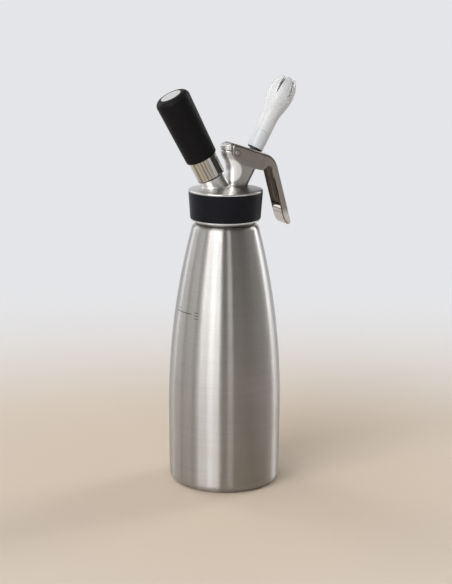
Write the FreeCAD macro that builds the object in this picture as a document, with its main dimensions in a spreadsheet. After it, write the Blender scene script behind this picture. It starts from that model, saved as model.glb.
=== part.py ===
"""Whipped cream dispenser: an insulated steel bottle, a screw-on head with a squeeze lever,
a slanted dispensing valve with a tulip tip, and a slanted holder for a gas charger.

Frame: +Z up, the origin at the centre of the base on the bottle's axis. +X points to the lever and
the nozzle, -X to the charger holder, and the side view lies in the plane Y = 0. Lengths are in
millimetres and angles in degrees. The nozzle and the charger stand on slanted axes that cross the
bottle's axis inside the head; sizes along them count from that crossing.
"""
import FreeCAD, Part
import math
import os
import re
import Sketcher
from FreeCAD import Placement, Rotation, Vector

SIZES = {
    # bottle
    "bottle_radius": 47.5,      # straight wall
    "foot_radius": 46.9,        # wall just above the base corner
    "foot_round": 6.8,          # base corner
    "foot_barrel": 3100,        # long curve of the wall below its widest place
    "foot_rim": 38,             # inner edge of the ring that the bottle stands on
    "foot_flat": 2,             # least width of that ring
    "wall_top": 68,             # where the taper starts
    "taper_radius": 600,        # the taper is one long arc
    "shoulder_start": 219.1,
    "shoulder_round": 4.6,
    "shoulder_bow": 0.6,        # least radius of that round, as a share of its chord
    "shoulder_top": 222.6,
    "neck_radius": 23.6,
    "shell_wall": 0.8,
    "vacuum_gap": 3,
    "liner_wall": 0.8,
    "liner_round": 6,
    "liner_shoulder": 214,
    "liner_neck": 219.4,
    "neck_bore": 19.6,
    "neck_top": 243,            # sealing lip
    "plate_wall": 0.8,
    "plate_dish": 3,            # height of the dished bottom above the floor
    "plate_overlap": 1.2,
    "plate_slope": 4,
    "seal_radius": 5,
    "seal_height": 1.2,
    "evacuation_hole": 1.5,
    # fits
    "seat_gap": 0.05,           # radial gap of a pressed or seated fit
    "running_gap": 0.06,        # radial gap of a turning or sliding fit
    "soft_gap": 0.3,            # between a soft or curved piece and one that moves past it
    # head thread
    "neck_pitch": 4,
    "neck_ridge": 1.1,          # height of a thread ridge
    "neck_crest": 0.7,          # width of a ridge at its crest
    "neck_root": 1.5,           # width of a ridge at its root
    "neck_thread_start": 229.5,
    "neck_thread_rise": 10,
    "head_thread_rise": 7,
    "thread_gap": 0.5,          # between a crest and the wall that it faces
    # head
    "gasket_thickness": 2,
    "gasket_inset": 0.6,
    "gasket_radius": 24.4,
    "skirt_bottom": 225.5,
    "skirt_radius": 27.8,
    "lip_radius": 28.5,
    "lip_height": 1.2,
    "band_bottom_radius": 29.5,
    "band_top_radius": 31,
    "band_round": 0.7,
    "band_gap": 0.1,
    "rim_bottom": 249.7,
    "rim_height": 1.3,
    "rim_radius": 31,
    "rim_round": 0.5,
    "dome_edge": 30.3,
    "dome_edge_height": 251.2,
    "dome_top": 254.8,
    "dome_curve": 130,
    "recess_radius": 18.5,
    "recess_top": 248.5,
    "foot_fillet": 1,
    "tower_half_width": 7.8,
    "tower_left": 0.2,          # left edge above the foot
    "tower_sink": 4,            # depth of the tower's root below the dome
    "waist_turn": 33,           # steepest turn of the left edge, degrees off upright
    "knuckle_left": -4.1,
    "knuckle_under": 8.5,       # round under the knuckle
    "knuckle_round": 1,
    "knuckle_upright": 2,       # height of the knuckle's upright nose
    "nose_flat": 0.2,           # left between the two big rounds of a nose
    # lever hinge
    "pin_across": 6,
    "pin_height": 282,
    "pin_radius": 2,
    "pin_proud": 0.3,
    "boss_radius": 3.9,         # of the tower round the pin
    "boss_end_angle": 25,       # where the flat top of the knuckle meets that boss
    # nozzle axis
    "nozzle_apex": 234,
    "nozzle_tilt": 28.3,
    "housing_radius": 7.8,
    "housing_top": 43,
    "valve_boss_radius": 7.6,
    "valve_boss_low": 8,
    "valve_boss_height": 10,
    "flow_bore": 4.4,
    "bush_low": 14,
    "bush_high": 32,
    "bush_radius": 5.2,
    "spring_chamber": 5.9,
    "seat_radius": 6.6,
    "seat_depth": 2,
    "stem_radius": 3.5,
    "stem_bore": 1.9,
    "stem_low": 3.6,
    "stem_flange_radius": 6.4,
    "stem_flange": 2,
    "stem_neck": 2.9,
    "stem_thread_radius": 3.05,
    "stem_step": 56.5,
    "stem_top": 68,
    "port_radius": 1.1,
    "port_height": 9.9,
    "stem_sump": 0.4,           # depth of the stem's bore below its ports
    "seal_outer": 6.3,
    "o_ring_height": 22,
    "o_ring_wire": 0.94,
    "o_ring_depth": 0.95,
    "o_ring_groove": 1.1,
    "collar_low": 47.5,
    "collar_high": 50.5,
    "collar_radius": 6.4,
    "spring_wire": 0.9,
    "spring_radius": 4.65,
    "spring_turns": 6,
    "stem_ridge": 0.65,
    "stem_pitch": 2,
    "stem_crest": 0.35,
    "stem_root": 0.7,
    "stem_thread_start": 58.6,
    "stem_thread_rise": 6.5,
    "tip_thread_rise": 5,
    "stem_thread_gap": 0.4,
    # nozzle
    "washer_thickness": 1.2,
    "washer_radius": 3.8,
    "nozzle_low": 56.8,
    "nozzle_low_radius": 6.8,
    "nozzle_seam": 72,
    "nozzle_seam_radius": 7,
    "nozzle_edge": 0.5,
    "spigot_radius": 4.4,
    "spigot_length": 6,
    "tip_gap": 0.1,             # seam between collar and tip
    "tip_low_radius": 7.1,
    "tip_flare_start": 82,
    "tip_turn_radius": 9.15,
    "tip_turn": 94.2,
    "tip_belly_radius": 11,
    "tip_belly": 108,
    "tip_mouth_radius": 6.4,
    "tip_end": 121.5,
    "flare_in_curve": 39,
    "flare_out_curve": 45,
    "petal_curve": 22,
    "tip_wall": 1.5,
    "tip_throat": 3.4,
    "tip_throat_top": 79.5,
    "slit_count": 6,
    "slit_low": 105.5,
    "slit_low_width": 0.6,
    "slit_width": 3.4,
    "slit_phase": 13,
    # lever
    "lever_half_width": 9.8,
    "cheek_wall": 1.6,
    "roof_wall": 1.8,
    "roof_height": 7.2,         # roof above the pin
    "roof_slope": 0.339,        # fall of the roof for each millimetre across
    "cheek_left": 4.3,          # cheek's round end, left of the pin
    "cheek_round": 3.5,
    "cheek_low_round": 5,
    "cheek_low_curve": 27,
    "cheek_low": 12.6,          # below the pin where the lower edge turns
    "cheek_turn": 11,           # across from the pin to there
    "cheek_end": 23.3,
    "cheek_end_low": 15.9,
    "notch_across": 27.5,
    "notch_round": 5,
    "notch_drop": 16.2,
    "handle_slope": 0.277,      # across for each millimetre down
    "handle_out": 41.6,         # outer face across from the pin, at the grip height
    "handle_thickness": 6.3,
    "handle_level": 26,         # grip height below the pin
    "handle_bend": 16,
    "tip_inner_low": 56,
    "tip_point_round": 2.2,
    "tip_under_curve": 15,
    "cheek_side_low": 0.4,
    "cheek_corner": 2.6,        # start of the lower curve, left of the pin
    "cheek_corner_low": 3.4,
    "channel_end": 27,          # the bend into the handle is solid from here
    "channel_round": 3,
    "hollow_length": 47,        # of the handle's hollow, up from the low end of its inner face
    "hollow_end": 9,            # where the hollow starts to run out, above that end
    "hollow_round": 4,
    "tail_left": -4.3,
    "tail_half_width": 7.6,
    "tail_height": 3.4,         # of its upright nose
    "tail_ridge": 2.4,          # where it meets the roof, left of the pin
    "tail_round": 1.4,
    "lever_round": 2.1,
    "tail_gap": 0.4,            # between the tail and the tower
    "knuckle_slope": 0.12,
    "pusher_radius": 1.3,
    "pusher_gap": 0.3,
    "slot_radius": 4.2,
    "slot_reach": 1.6,
    # charger axis
    "charger_apex": 237.7,
    "charger_tilt": 28.3,
    "boss_base_radius": 10.6,
    "boss_base_top": 29.2,
    "boss_thread_radius": 9.6,
    "boss_top": 41,
    "boss_deep": 12,
    "charger_bore": 4.9,
    "insert_radius": 4.6,
    "insert_low": 21,
    "insert_high": 31.4,
    "check_radius": 3.4,
    "check_low": 18,
    "check_thickness": 1.2,
    "gas_channel": 0.9,
    "gas_channel_across": -8.5,
    "needle_low": 24,
    "needle_radius": 1.2,
    "needle_shoulder": 33,
    "needle_point": 35.6,
    "needle_point_radius": 0.5,
    "needle_bore": 0.35,
    "charger_seal_thickness": 1.6,
    "charger_seal_bore": 1.6,
    "holder_pitch": 2.5,
    "holder_ridge": 0.65,
    "holder_crest": 0.4,
    "holder_root": 0.8,
    "holder_thread_start": 31.8,
    "holder_thread_rise": 7.5,
    "sleeve_thread_rise": 5,
    "holder_thread_gap": 0.45,
    # holder and charger
    "sleeve_low": 29.6,
    "sleeve_radius": 12,
    "sleeve_edge": 0.5,
    "sleeve_under_radius": 11.2,
    "sleeve_step": 43,
    "sleeve_bore": 9.5,
    "sleeve_floor": 100.5,
    "sleeve_end": 102,
    "grip_low": 47,
    "grip_low_radius": 13.3,
    "grip_low_round": 1,
    "grip_high_radius": 14.6,
    "grip_round": 5,
    "grip_end": 105,
    "disc_radius": 8.7,
    "disc_thickness": 1,
    "pad_radius": 7.5,
    "pad_thickness": 1.8,
    "capsule_radius": 8.9,
    "capsule_mouth": 33.3,
    "capsule_length": 65,
    "capsule_neck": 4.2,
    "capsule_neck_top": 42,
    "capsule_shoulder": 50,
    "capsule_curve": 9,
    "capsule_wall": 1.4,
    "capsule_throat": 2.5,
    "cap_radius": 3.4,
    "cap_thickness": 0.9,
    "cap_inset": 0.2,
    "pierced_gap": 0.15,
}

doc = FreeCAD.newDocument("cream_dispenser")
sizes = doc.addObject("Spreadsheet::Sheet", "Sizes")
for row, (alias, value) in enumerate(SIZES.items(), 1):
    sizes.set(f"A{row}", alias)
    sizes.set(f"B{row}", str(value))
    sizes.setAlias(f"B{row}", alias)
doc.recompute()

pieces = []

# A slanted frame is its crossing on the bottle's axis, its tilt, and the axis that it turns about.
NOZZLE = ("nozzle_apex", "nozzle_tilt", Vector(0, 1, 0))
CHARGER = ("charger_apex", "charger_tilt", Vector(0, -1, 0))


def tie(text):
    """The same expression as another object reads it, with the sheet's name before each cell's."""
    return re.sub(r"[a-z_]+", lambda word: ("Sizes." if word.group() in SIZES else "") + word.group(), text)


def number(text):
    """The value of an expression of the sheet's cells."""
    return float(sizes.evalExpression(text))


def new_piece(label, frame=None):
    """A body of its own, upright or on a slanted axis."""
    body = doc.addObject("PartDesign::Body", label)
    body.Label = label
    if frame:
        apex, tilt, axis = frame
        body.Placement = Placement(Vector(0, 0, number(apex)), Rotation(axis, number(tilt)))
        body.setExpression("Placement.Base.z", tie(apex))
        body.setExpression("Placement.Rotation.Angle", tie(tilt))
    pieces.append(body)
    return body


def origin_plane(body, role):
    for feature in body.Origin.OriginFeatures:
        if feature.Role == role:
            return feature


def new_sketch(body, name, frame=None, role="XZ_Plane"):
    """An empty sketch on a plane of the body; in a slanted frame, its V axis is the slanted axis."""
    sketch = body.newObject("Sketcher::SketchObject", name)
    sketch.AttachmentSupport = [(origin_plane(body, role), "")]
    sketch.MapMode = "FlatFace"
    if frame:
        apex, tilt, axis = frame
        offset = Rotation(Vector(0, 0, -axis.y), number(tilt))
        sketch.AttachmentOffset = Placement(Vector(0, number(apex), 0), offset)
        sketch.setExpression("AttachmentOffset.Base.y", tie(apex))
        sketch.setExpression("AttachmentOffset.Rotation.Angle", tie(tilt))
    sketch.Visibility = False
    return sketch


def hold(sketch, kind, where, text):
    """A dimension that follows an expression; a point with no distance lies on the axis instead."""
    value = number(text)
    if abs(value) < 1e-9 and kind != "Radius":
        sketch.addConstraint(Sketcher.Constraint("PointOnObject", *where, -2 if kind == "DistanceX" else -1))
        return
    first = where if kind == "Radius" else (-1, 1) + where
    index = sketch.addConstraint(Sketcher.Constraint(kind, *first, value))
    sketch.setExpression(f"Constraints[{index}]", tie(text))


def outline(body, name, corners, frame=None, role="XZ_Plane"):
    """A closed, dimensioned outline. Each corner is (across, up), and one with a third value is
    reached by an arc of that radius: positive bows to the right of the way, negative to the left."""
    sketch = new_sketch(body, name, frame, role)
    points = [Vector(number(corner[0]), number(corner[1]), 0) for corner in corners]
    ends = []
    for index, corner in enumerate(corners):
        start, end = points[index - 1], points[index]
        if len(corner) == 2:
            sketch.addGeometry(Part.LineSegment(start, end), False)
            ends.append((1, 2))
            continue
        radius = number(corner[2])
        chord = end - start
        right = Vector(chord.y, -chord.x, 0).normalize() * math.copysign(1, radius)
        sagitta = abs(radius) - math.sqrt(radius ** 2 - chord.Length ** 2 / 4)
        sketch.addGeometry(Part.Arc(start, (start + end) / 2 + right * sagitta, end), False)
        ends.append((1, 2) if radius > 0 else (2, 1))
    for index, (first, last) in enumerate(ends):
        after = (index + 1) % len(ends)
        sketch.addConstraint(Sketcher.Constraint("Coincident", index, last, after, ends[after][0]))
    for index, corner in enumerate(corners):
        hold(sketch, "DistanceX", (index, ends[index][1]), corner[0])
        hold(sketch, "DistanceY", (index, ends[index][1]), corner[1])
        if len(corner) == 3:
            hold(sketch, "Radius", (index,), f"abs({corner[2]})")
    return sketch


def ring_outline(body, name, across, up, radius, frame=None, role="XZ_Plane"):
    """A dimensioned circle."""
    sketch = new_sketch(body, name, frame, role)
    centre = Vector(number(across), number(up), 0)
    sketch.addGeometry(Part.Circle(centre, Vector(0, 0, 1), number(radius)), False)
    hold(sketch, "DistanceX", (0, 3), across)
    hold(sketch, "DistanceY", (0, 3), up)
    hold(sketch, "Radius", (0,), radius)
    return sketch


def turned(body, name, sketch, cut=False):
    """A full turn of an outline about its sketch's V axis, added or cut."""
    feature = body.newObject("PartDesign::Groove" if cut else "PartDesign::Revolution", name)
    feature.Profile = sketch
    feature.ReferenceAxis = (sketch, ["V_Axis"])
    feature.Angle = 360
    return feature


def extruded(body, name, sketch, width, cut=False):
    """An outline made as wide as stated, half to each side of its plane, added or cut."""
    feature = body.newObject("PartDesign::Pocket" if cut else "PartDesign::Pad", name)
    feature.Profile = sketch
    feature.SideType = "Symmetric"
    feature.setExpression("Length", tie(width))
    return feature


def threaded(body, name, wall, ridge, crest, root, start, rise, pitch, frame=None):
    """A helical thread ridge on a round wall: a negative ridge stands inwards from a bore."""
    sunk = f"({wall}) - ({ridge}) * 0.2"
    tip = f"({wall}) + ({ridge})"
    sketch = outline(body, name + "Outline", [
        (sunk, f"{start} - ({root}) / 2"),
        (tip, f"{start} - ({crest}) / 2"),
        (tip, f"{start} + ({crest}) / 2"),
        (sunk, f"{start} + ({root}) / 2"),
    ], frame)
    helix = body.newObject("PartDesign::AdditiveHelix", name)
    helix.Profile = sketch
    helix.ReferenceAxis = (sketch, ["V_Axis"])
    helix.Mode = "pitch-height-angle"
    helix.setExpression("Pitch", tie(pitch))
    helix.setExpression("Height", tie(rise))
    return helix


def rounded(body, name, radius, wanted, kind="PartDesign::Fillet"):
    """A fillet or chamfer of the edges that a test picks from the body so far."""
    doc.recompute()
    base = body.Tip
    edges = [f"Edge{index}" for index, edge in enumerate(base.Shape.Edges, 1)
             if not edge.Degenerated and wanted(edge)]
    feature = body.newObject(kind, name)
    feature.Base = (base, edges)
    feature.setExpression("Radius" if kind.endswith("Fillet") else "Size", tie(radius))
    return feature


def circle_at(height, radius, tolerance=0.01):
    """A test for level round edges of a radius at a height."""
    def wanted(edge):
        curve = edge.Curve
        return (isinstance(curve, Part.Circle) and abs(curve.Center.z - number(height)) < tolerance
                and abs(curve.Radius - number(radius)) < tolerance)
    return wanted


# ---------------------------------------------------------------------------------------------
# Bottle: two steel walls with a vacuum between them, joined at a threaded neck ring
# ---------------------------------------------------------------------------------------------
SHOULDER_SINE = "((shoulder_start - wall_top) / taper_radius)"
LINER_DEPTH = "(shell_wall + vacuum_gap)"
LINER_OUTER = "(neck_bore + liner_wall)"
RING_LOW = "(shoulder_top - shell_wall)"
RING_TOP = "(neck_top - liner_wall)"
STAND = "min(foot_rim; foot_radius - foot_round - foot_flat)"


def taper_at(height, depth):
    """Radius of the tapered wall at a height, moved in by a depth."""
    arm = f"sqrt((taper_radius - {depth}) ^ 2 - ({height} - wall_top) ^ 2)"
    return f"(bottle_radius - taper_radius + {arm})"


SHOULDER_CHORD = (f"sqrt(({taper_at('shoulder_start', '0')} - neck_radius) ^ 2"
                  " + (shoulder_top - shoulder_start) ^ 2)")
SHOULDER_ARC = f"max(shoulder_round; shoulder_bow * {SHOULDER_CHORD})"


def shell_corners(depth):
    """The outer wall from its base corner up to the neck, moved in by a depth."""
    taper_end = f"(shoulder_start - {depth} * {SHOULDER_SINE})"
    return [
        ("foot_radius - foot_round", depth),
        (f"foot_radius - {depth}", "foot_round", f"foot_round - {depth}"),
        (f"bottle_radius - {depth}", "wall_top", f"foot_barrel - {depth}"),
        (taper_at(taper_end, depth), taper_end, f"taper_radius - {depth}"),
        ("neck_radius", f"shoulder_top - {depth}", f"{SHOULDER_ARC} - {depth}"),
    ]


def liner_corners(depth, floor, corner):
    """The inner wall from the middle of its bottom up to its shoulder."""
    return [
        ("0", floor),
        (f"foot_radius - {depth} - {corner}", floor),
        (f"foot_radius - {depth}", f"{floor} + {corner}", corner),
        (f"bottle_radius - {depth}", "wall_top", f"foot_barrel - {depth}"),
        (taper_at("liner_shoulder", depth), "liner_shoulder", f"taper_radius - {depth}"),
    ]


def back_along(corners):
    """The same outline walked the other way, with its arcs bowed to the other side."""
    way = [corners[-1][:2]]
    for index in range(len(corners) - 1, 0, -1):
        arc = corners[index][2:]
        way.append(corners[index - 1][:2] + tuple(f"-({radius})" for radius in arc))
    return way


def outer_shell():
    body = new_piece("outer_shell")
    inner = back_along(shell_corners("shell_wall"))
    corners = [(STAND, "0")] + shell_corners("0") + inner + [(STAND, "shell_wall")]
    turned(body, "ShellWall", outline(body, "ShellOutline", corners))


def inner_liner():
    """Inner wall, its bottom, its neck tube and the lip that turns out over the neck ring."""
    body = new_piece("inner_liner")
    floor = "(plate_dish + plate_wall + vacuum_gap)"
    outer = liner_corners(LINER_DEPTH, floor, "liner_round")
    inner = liner_corners(f"({LINER_DEPTH} + liner_wall)", f"({floor} + liner_wall)",
                          "(liner_round - liner_wall)")
    neck = [
        (LINER_OUTER, "liner_neck"),
        (LINER_OUTER, RING_TOP),
        ("neck_radius - band_gap", RING_TOP),
        ("neck_radius - band_gap", "neck_top"),
        ("neck_bore", "neck_top"),
        ("neck_bore", "liner_neck"),
    ]
    turned(body, "LinerWall", outline(body, "LinerOutline", outer + neck + back_along(inner)))


def neck_ring():
    """Turned ring between the two walls, with the thread that the head screws on."""
    body = new_piece("neck_ring")
    turned(body, "Ring", outline(body, "RingOutline", [
        (f"{LINER_OUTER} + seat_gap", RING_LOW),
        ("neck_radius", RING_LOW),
        ("neck_radius", RING_TOP),
        (f"{LINER_OUTER} + seat_gap", RING_TOP),
    ]))
    threaded(body, "NeckThread", "neck_radius", "neck_ridge", "neck_crest", "neck_root",
             "neck_thread_start", "neck_thread_rise", "neck_pitch")


def base_plate():
    """Dished plate whose flange lies on the turned-in ring of the outer wall."""
    body = new_piece("base_plate")
    turned(body, "Plate", outline(body, "PlateOutline", [
        ("evacuation_hole", "plate_dish"),
        (f"{STAND} - plate_slope", "plate_dish"),
        (f"{STAND} - plate_overlap", "shell_wall"),
        (f"{STAND} + plate_overlap", "shell_wall"),
        (f"{STAND} + plate_overlap", "shell_wall + plate_wall"),
        (f"{STAND} - plate_overlap + plate_wall / 2", "shell_wall + plate_wall"),
        (f"{STAND} - plate_slope + plate_wall / 2", "plate_dish + plate_wall"),
        ("evacuation_hole", "plate_dish + plate_wall"),
    ]))


def vacuum_seal():
    body = new_piece("vacuum_seal")
    turned(body, "Disc", outline(body, "DiscOutline", [
        ("0", "plate_dish - seal_height"),
        ("seal_radius", "plate_dish - seal_height"),
        ("seal_radius", "plate_dish"),
        ("0", "plate_dish"),
    ]))
    rounded(body, "DiscEdge", "seal_height / 3", circle_at("plate_dish - seal_height", "seal_radius"))


# ---------------------------------------------------------------------------------------------
# Head: the cast cap with its tower and necks, and what is fixed in it
# ---------------------------------------------------------------------------------------------
HEAD_FLOOR = "(neck_top + gasket_thickness)"
HEAD_BORE = "(neck_radius + neck_ridge + thread_gap)"
BAND_LOW = "(skirt_bottom + lip_height + band_gap)"
BAND_HIGH = "(rim_bottom - band_gap)"
BORE_WIDTH = "(4 * lever_half_width)"
KNUCKLE_END = ("(pin_across - boss_radius * cos(boss_end_angle))",
               "(pin_height + boss_radius * sin(boss_end_angle))")


def knuckle_top(across):
    """Height of the sloping top of the tower's knuckle, left of the pin boss."""
    return f"({KNUCKLE_END[1]} + knuckle_slope * ({KNUCKLE_END[0]} - ({across})))"


def along_nozzle(station, aside="0"):
    """A point in the side view at a station of the nozzle's axis, and aside of it to the right."""
    return (f"({station}) * sin(nozzle_tilt) + ({aside}) * cos(nozzle_tilt)",
            f"nozzle_apex + ({station}) * cos(nozzle_tilt) - ({aside}) * sin(nozzle_tilt)")


def head_gasket():
    body = new_piece("head_gasket")
    turned(body, "Gasket", outline(body, "GasketOutline", [
        ("neck_bore + gasket_inset", "neck_top"),
        ("gasket_radius", "neck_top"),
        ("gasket_radius", HEAD_FLOOR),
        ("neck_bore + gasket_inset", HEAD_FLOOR),
    ]))


def head_cap(body):
    """The round cap as a full block: lip, skirt, rim and low dome."""
    turned(body, "Cap", outline(body, "CapOutline", [
        ("0", "skirt_bottom"),
        ("lip_radius", "skirt_bottom"),
        ("lip_radius", "skirt_bottom + lip_height"),
        ("skirt_radius", "skirt_bottom + lip_height"),
        ("skirt_radius", "rim_bottom"),
        ("rim_radius", "rim_bottom"),
        ("rim_radius", "rim_bottom + rim_height"),
        ("dome_edge", "dome_edge_height"),
        ("0", "dome_top", "dome_curve"),
    ]))
    rounded(body, "RimEdge", "rim_round", circle_at("rim_bottom + rim_height", "rim_radius"))


def head_tower(body):
    """The upright web that carries the lever's knuckle, in the side view."""
    root = "dome_top - tower_sink"
    nose_top = knuckle_top("knuckle_left")
    left_height = f"({nose_top} - knuckle_upright)"
    bend = "((tower_left - knuckle_left) / (1 - cos(waist_turn)))"
    extruded(body, "Tower", outline(body, "TowerOutline", [
        ("tower_left", root),
        (f"({root} - nozzle_apex) * tan(nozzle_tilt)", root),
        along_nozzle("housing_top - tower_sink"),
        along_nozzle("housing_top", "1 - housing_radius"),
        ("pin_across + boss_radius", "pin_height"),
        KNUCKLE_END + ("boss_radius",),
        ("knuckle_left", nose_top),
        ("knuckle_left", left_height),
        ("knuckle_left + knuckle_under * (1 - cos(waist_turn))",
         f"{left_height} - knuckle_under * sin(waist_turn)", "knuckle_under"),
        ("tower_left", f"{left_height} - {bend} * sin(waist_turn)", f"knuckle_under - {bend}"),
    ]), "2 * tower_half_width")

    nose_height = number(nose_top)

    def nose_edge(edge):
        middle = edge.CenterOfMass
        side = abs(abs(middle.y) - number("tower_half_width")) < 0.01 and edge.BoundBox.YLength < 0.01
        left = middle.x < number("tower_left + 0.1") and edge.BoundBox.XMax < number("tower_left + 0.1")
        return side and left and middle.z < nose_height - 0.1

    rounded(body, "Nose", "tower_half_width - nose_flat / 2", nose_edge)

    def rim_edge(edge):
        box = edge.BoundBox
        return box.ZMin > number(KNUCKLE_END[1]) - 0.01 and box.XMin < number(KNUCKLE_END[0]) - 1

    rounded(body, "NoseRim", "knuckle_round", rim_edge)


def head_necks(body):
    """Valve housing on the nozzle's axis and stepped boss on the charger's axis."""
    turned(body, "Housing", outline(body, "HousingOutline", [
        ("0", "bush_low"),
        ("housing_radius", "bush_low"),
        ("housing_radius", "housing_top - sleeve_edge"),
        ("housing_radius - sleeve_edge", "housing_top", "sleeve_edge"),
        ("0", "housing_top"),
    ], NOZZLE))
    turned(body, "ChargerBoss", outline(body, "ChargerBossOutline", [
        ("0", "boss_deep"),
        ("boss_base_radius", "boss_deep"),
        ("boss_base_radius", "boss_base_top"),
        ("boss_thread_radius", "boss_base_top"),
        ("boss_thread_radius", "boss_top"),
        ("0", "boss_top"),
    ], CHARGER))


def head_feet(body):
    """Fillet where the tower and the two necks grow out of the dome."""
    def foot(edge):
        box = edge.BoundBox
        low = number("dome_edge_height") + 0.1 < box.ZMin and box.ZMax < number("dome_top") + 0.6
        return low and (box.YLength > 0.01 or abs(box.YMin) > 1)

    rounded(body, "Feet", "foot_fillet", foot)


def head_hollow(body):
    """Everything cut from the cap: the threaded skirt, the recess and the stepped bores."""
    below = "skirt_bottom - lip_height"
    turned(body, "Skirt", outline(body, "SkirtOutline", [
        ("0", below),
        (HEAD_BORE, below),
        (HEAD_BORE, HEAD_FLOOR),
        ("recess_radius", HEAD_FLOOR),
        ("recess_radius", "recess_top"),
        ("0", "recess_top"),
    ]), cut=True)
    turned(body, "ValveBoss", outline(body, "ValveBossOutline", [
        ("0", "valve_boss_low"),
        ("valve_boss_radius", "valve_boss_low"),
        ("valve_boss_radius", "valve_boss_low + valve_boss_height"),
        ("0", "valve_boss_low + valve_boss_height"),
    ], NOZZLE))
    turned(body, "ValveBore", outline(body, "ValveBoreOutline", [
        ("0", "valve_boss_low - seat_depth"),
        ("seat_radius + seat_gap", "valve_boss_low - seat_depth"),
        ("seat_radius + seat_gap", "valve_boss_low + seat_depth"),
        ("flow_bore", "valve_boss_low + seat_depth"),
        ("flow_bore", "bush_low"),
        ("bush_radius + seat_gap", "bush_low"),
        ("bush_radius + seat_gap", "bush_high"),
        ("spring_chamber", "bush_high"),
        ("spring_chamber", "housing_top + seat_depth"),
        ("0", "housing_top + seat_depth"),
    ], NOZZLE), cut=True)
    turned(body, "GasBore", outline(body, "GasBoreOutline", [
        ("0", "check_low"),
        ("check_radius", "check_low"),
        ("check_radius", "insert_low"),
        ("insert_radius + seat_gap", "insert_low"),
        ("insert_radius + seat_gap", SEAL_TOP),
        ("charger_bore", SEAL_TOP),
        ("charger_bore", "boss_top + seat_depth"),
        ("0", "boss_top + seat_depth"),
    ], CHARGER), cut=True)
    channel = ring_outline(body, "GasChannelOutline", "gas_channel_across", "0", "gas_channel",
                           None, "XY_Plane")
    extruded(body, "GasChannel", channel, "2 * (charger_apex + check_low * cos(charger_tilt))", cut=True)
    hole = ring_outline(body, "PinHoleOutline", "pin_across", "pin_height", "pin_radius + seat_gap")
    extruded(body, "PinHole", hole, BORE_WIDTH, cut=True)


def head_body():
    body = new_piece("head_body")
    head_cap(body)
    head_tower(body)
    head_necks(body)
    head_feet(body)
    head_hollow(body)
    threaded(body, "SkirtThread", HEAD_BORE, "-neck_ridge", "neck_crest", "neck_root",
             "(neck_thread_start + neck_pitch / 2)", "head_thread_rise", "neck_pitch")
    threaded(body, "BossThread", "boss_thread_radius", "holder_ridge", "holder_crest", "holder_root",
             "holder_thread_start", "holder_thread_rise", "holder_pitch", CHARGER)


def grip_band():
    """Soft band that fills the groove between the cap's lip and its rim."""
    body = new_piece("grip_band")
    turned(body, "Band", outline(body, "BandOutline", [
        ("skirt_radius + seat_gap", BAND_LOW),
        ("band_bottom_radius - band_round", BAND_LOW),
        ("band_bottom_radius", f"{BAND_LOW} + band_round", "band_round"),
        ("band_top_radius", f"{BAND_HIGH} - band_round"),
        ("band_top_radius - band_round", BAND_HIGH, "band_round"),
        ("skirt_radius + seat_gap", BAND_HIGH),
    ]))


def lever_pin():
    body = new_piece("lever_pin")
    ring = ring_outline(body, "PinOutline", "pin_across", "pin_height", "pin_radius")
    extruded(body, "Pin", ring, "2 * (lever_half_width + pin_proud)")
    rounded(body, "PinEnds", "pin_proud", lambda edge: isinstance(edge.Curve, Part.Circle),
            "PartDesign::Chamfer")


def valve_bush():
    body = new_piece("valve_bush", NOZZLE)
    turned(body, "Bush", outline(body, "BushOutline", [
        ("stem_radius + running_gap", "bush_low"),
        ("bush_radius", "bush_low"),
        ("bush_radius", "bush_high"),
        ("stem_radius + running_gap", "bush_high"),
    ]))


def valve_seat():
    body = new_piece("valve_seat", NOZZLE)
    turned(body, "Seat", outline(body, "SeatOutline", [
        ("flow_bore", "valve_boss_low"),
        ("seat_radius", "valve_boss_low"),
        ("seat_radius", "valve_boss_low + seat_depth"),
        ("flow_bore", "valve_boss_low + seat_depth"),
    ]))


SEAL_LOW = "(insert_high + seat_gap)"
SEAL_TOP = "(insert_high + seat_gap + charger_seal_thickness)"


def check_valve():
    """Loose rubber disc under the insert: gas lifts it off on the way in and shuts it on the way back."""
    body = new_piece("check_valve", CHARGER)
    turned(body, "Disc", outline(body, "DiscOutline", [
        ("0", "insert_low - check_thickness"),
        ("check_radius - soft_gap", "insert_low - check_thickness"),
        ("check_radius - soft_gap", "insert_low"),
        ("0", "insert_low"),
    ]))


def piercing_insert():
    body = new_piece("piercing_insert", CHARGER)
    turned(body, "Insert", outline(body, "InsertOutline", [
        ("needle_radius + seat_gap", "insert_low"),
        ("insert_radius", "insert_low"),
        ("insert_radius", "insert_high"),
        ("needle_radius + seat_gap", "insert_high"),
    ]))


def piercing_pin():
    """Hollow needle that opens the charger's cap and leads the gas down."""
    body = new_piece("piercing_pin", CHARGER)
    turned(body, "Needle", outline(body, "NeedleOutline", [
        ("needle_bore", "needle_low"),
        ("needle_radius", "needle_low"),
        ("needle_radius", "needle_shoulder"),
        ("needle_point_radius", "needle_point"),
        ("needle_bore", "needle_point"),
    ]))


def piercing_seal():
    body = new_piece("piercing_seal", CHARGER)
    turned(body, "Seal", outline(body, "SealOutline", [
        ("charger_seal_bore", SEAL_LOW),
        ("insert_radius - seat_gap", SEAL_LOW),
        ("insert_radius - seat_gap", SEAL_TOP),
        ("charger_seal_bore", SEAL_TOP),
    ]))


# ---------------------------------------------------------------------------------------------
# Lever: slotted roof, two cheeks on the pin, and a hollow handle
# ---------------------------------------------------------------------------------------------
INNER_WIDTH = "2 * (lever_half_width - cheek_wall)"
ROOF_UNDER = "(roof_wall * sqrt(1 + roof_slope ^ 2))"


def from_pin(across, below):
    """A point in the side view, across from the pin and below it."""
    return (f"pin_across + ({across})", f"pin_height - ({below})")


def roof_at(across, under="0"):
    """A point of the roof's line, across from the pin."""
    return from_pin(across, f"roof_slope * ({across}) - roof_height + ({under})")


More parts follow.
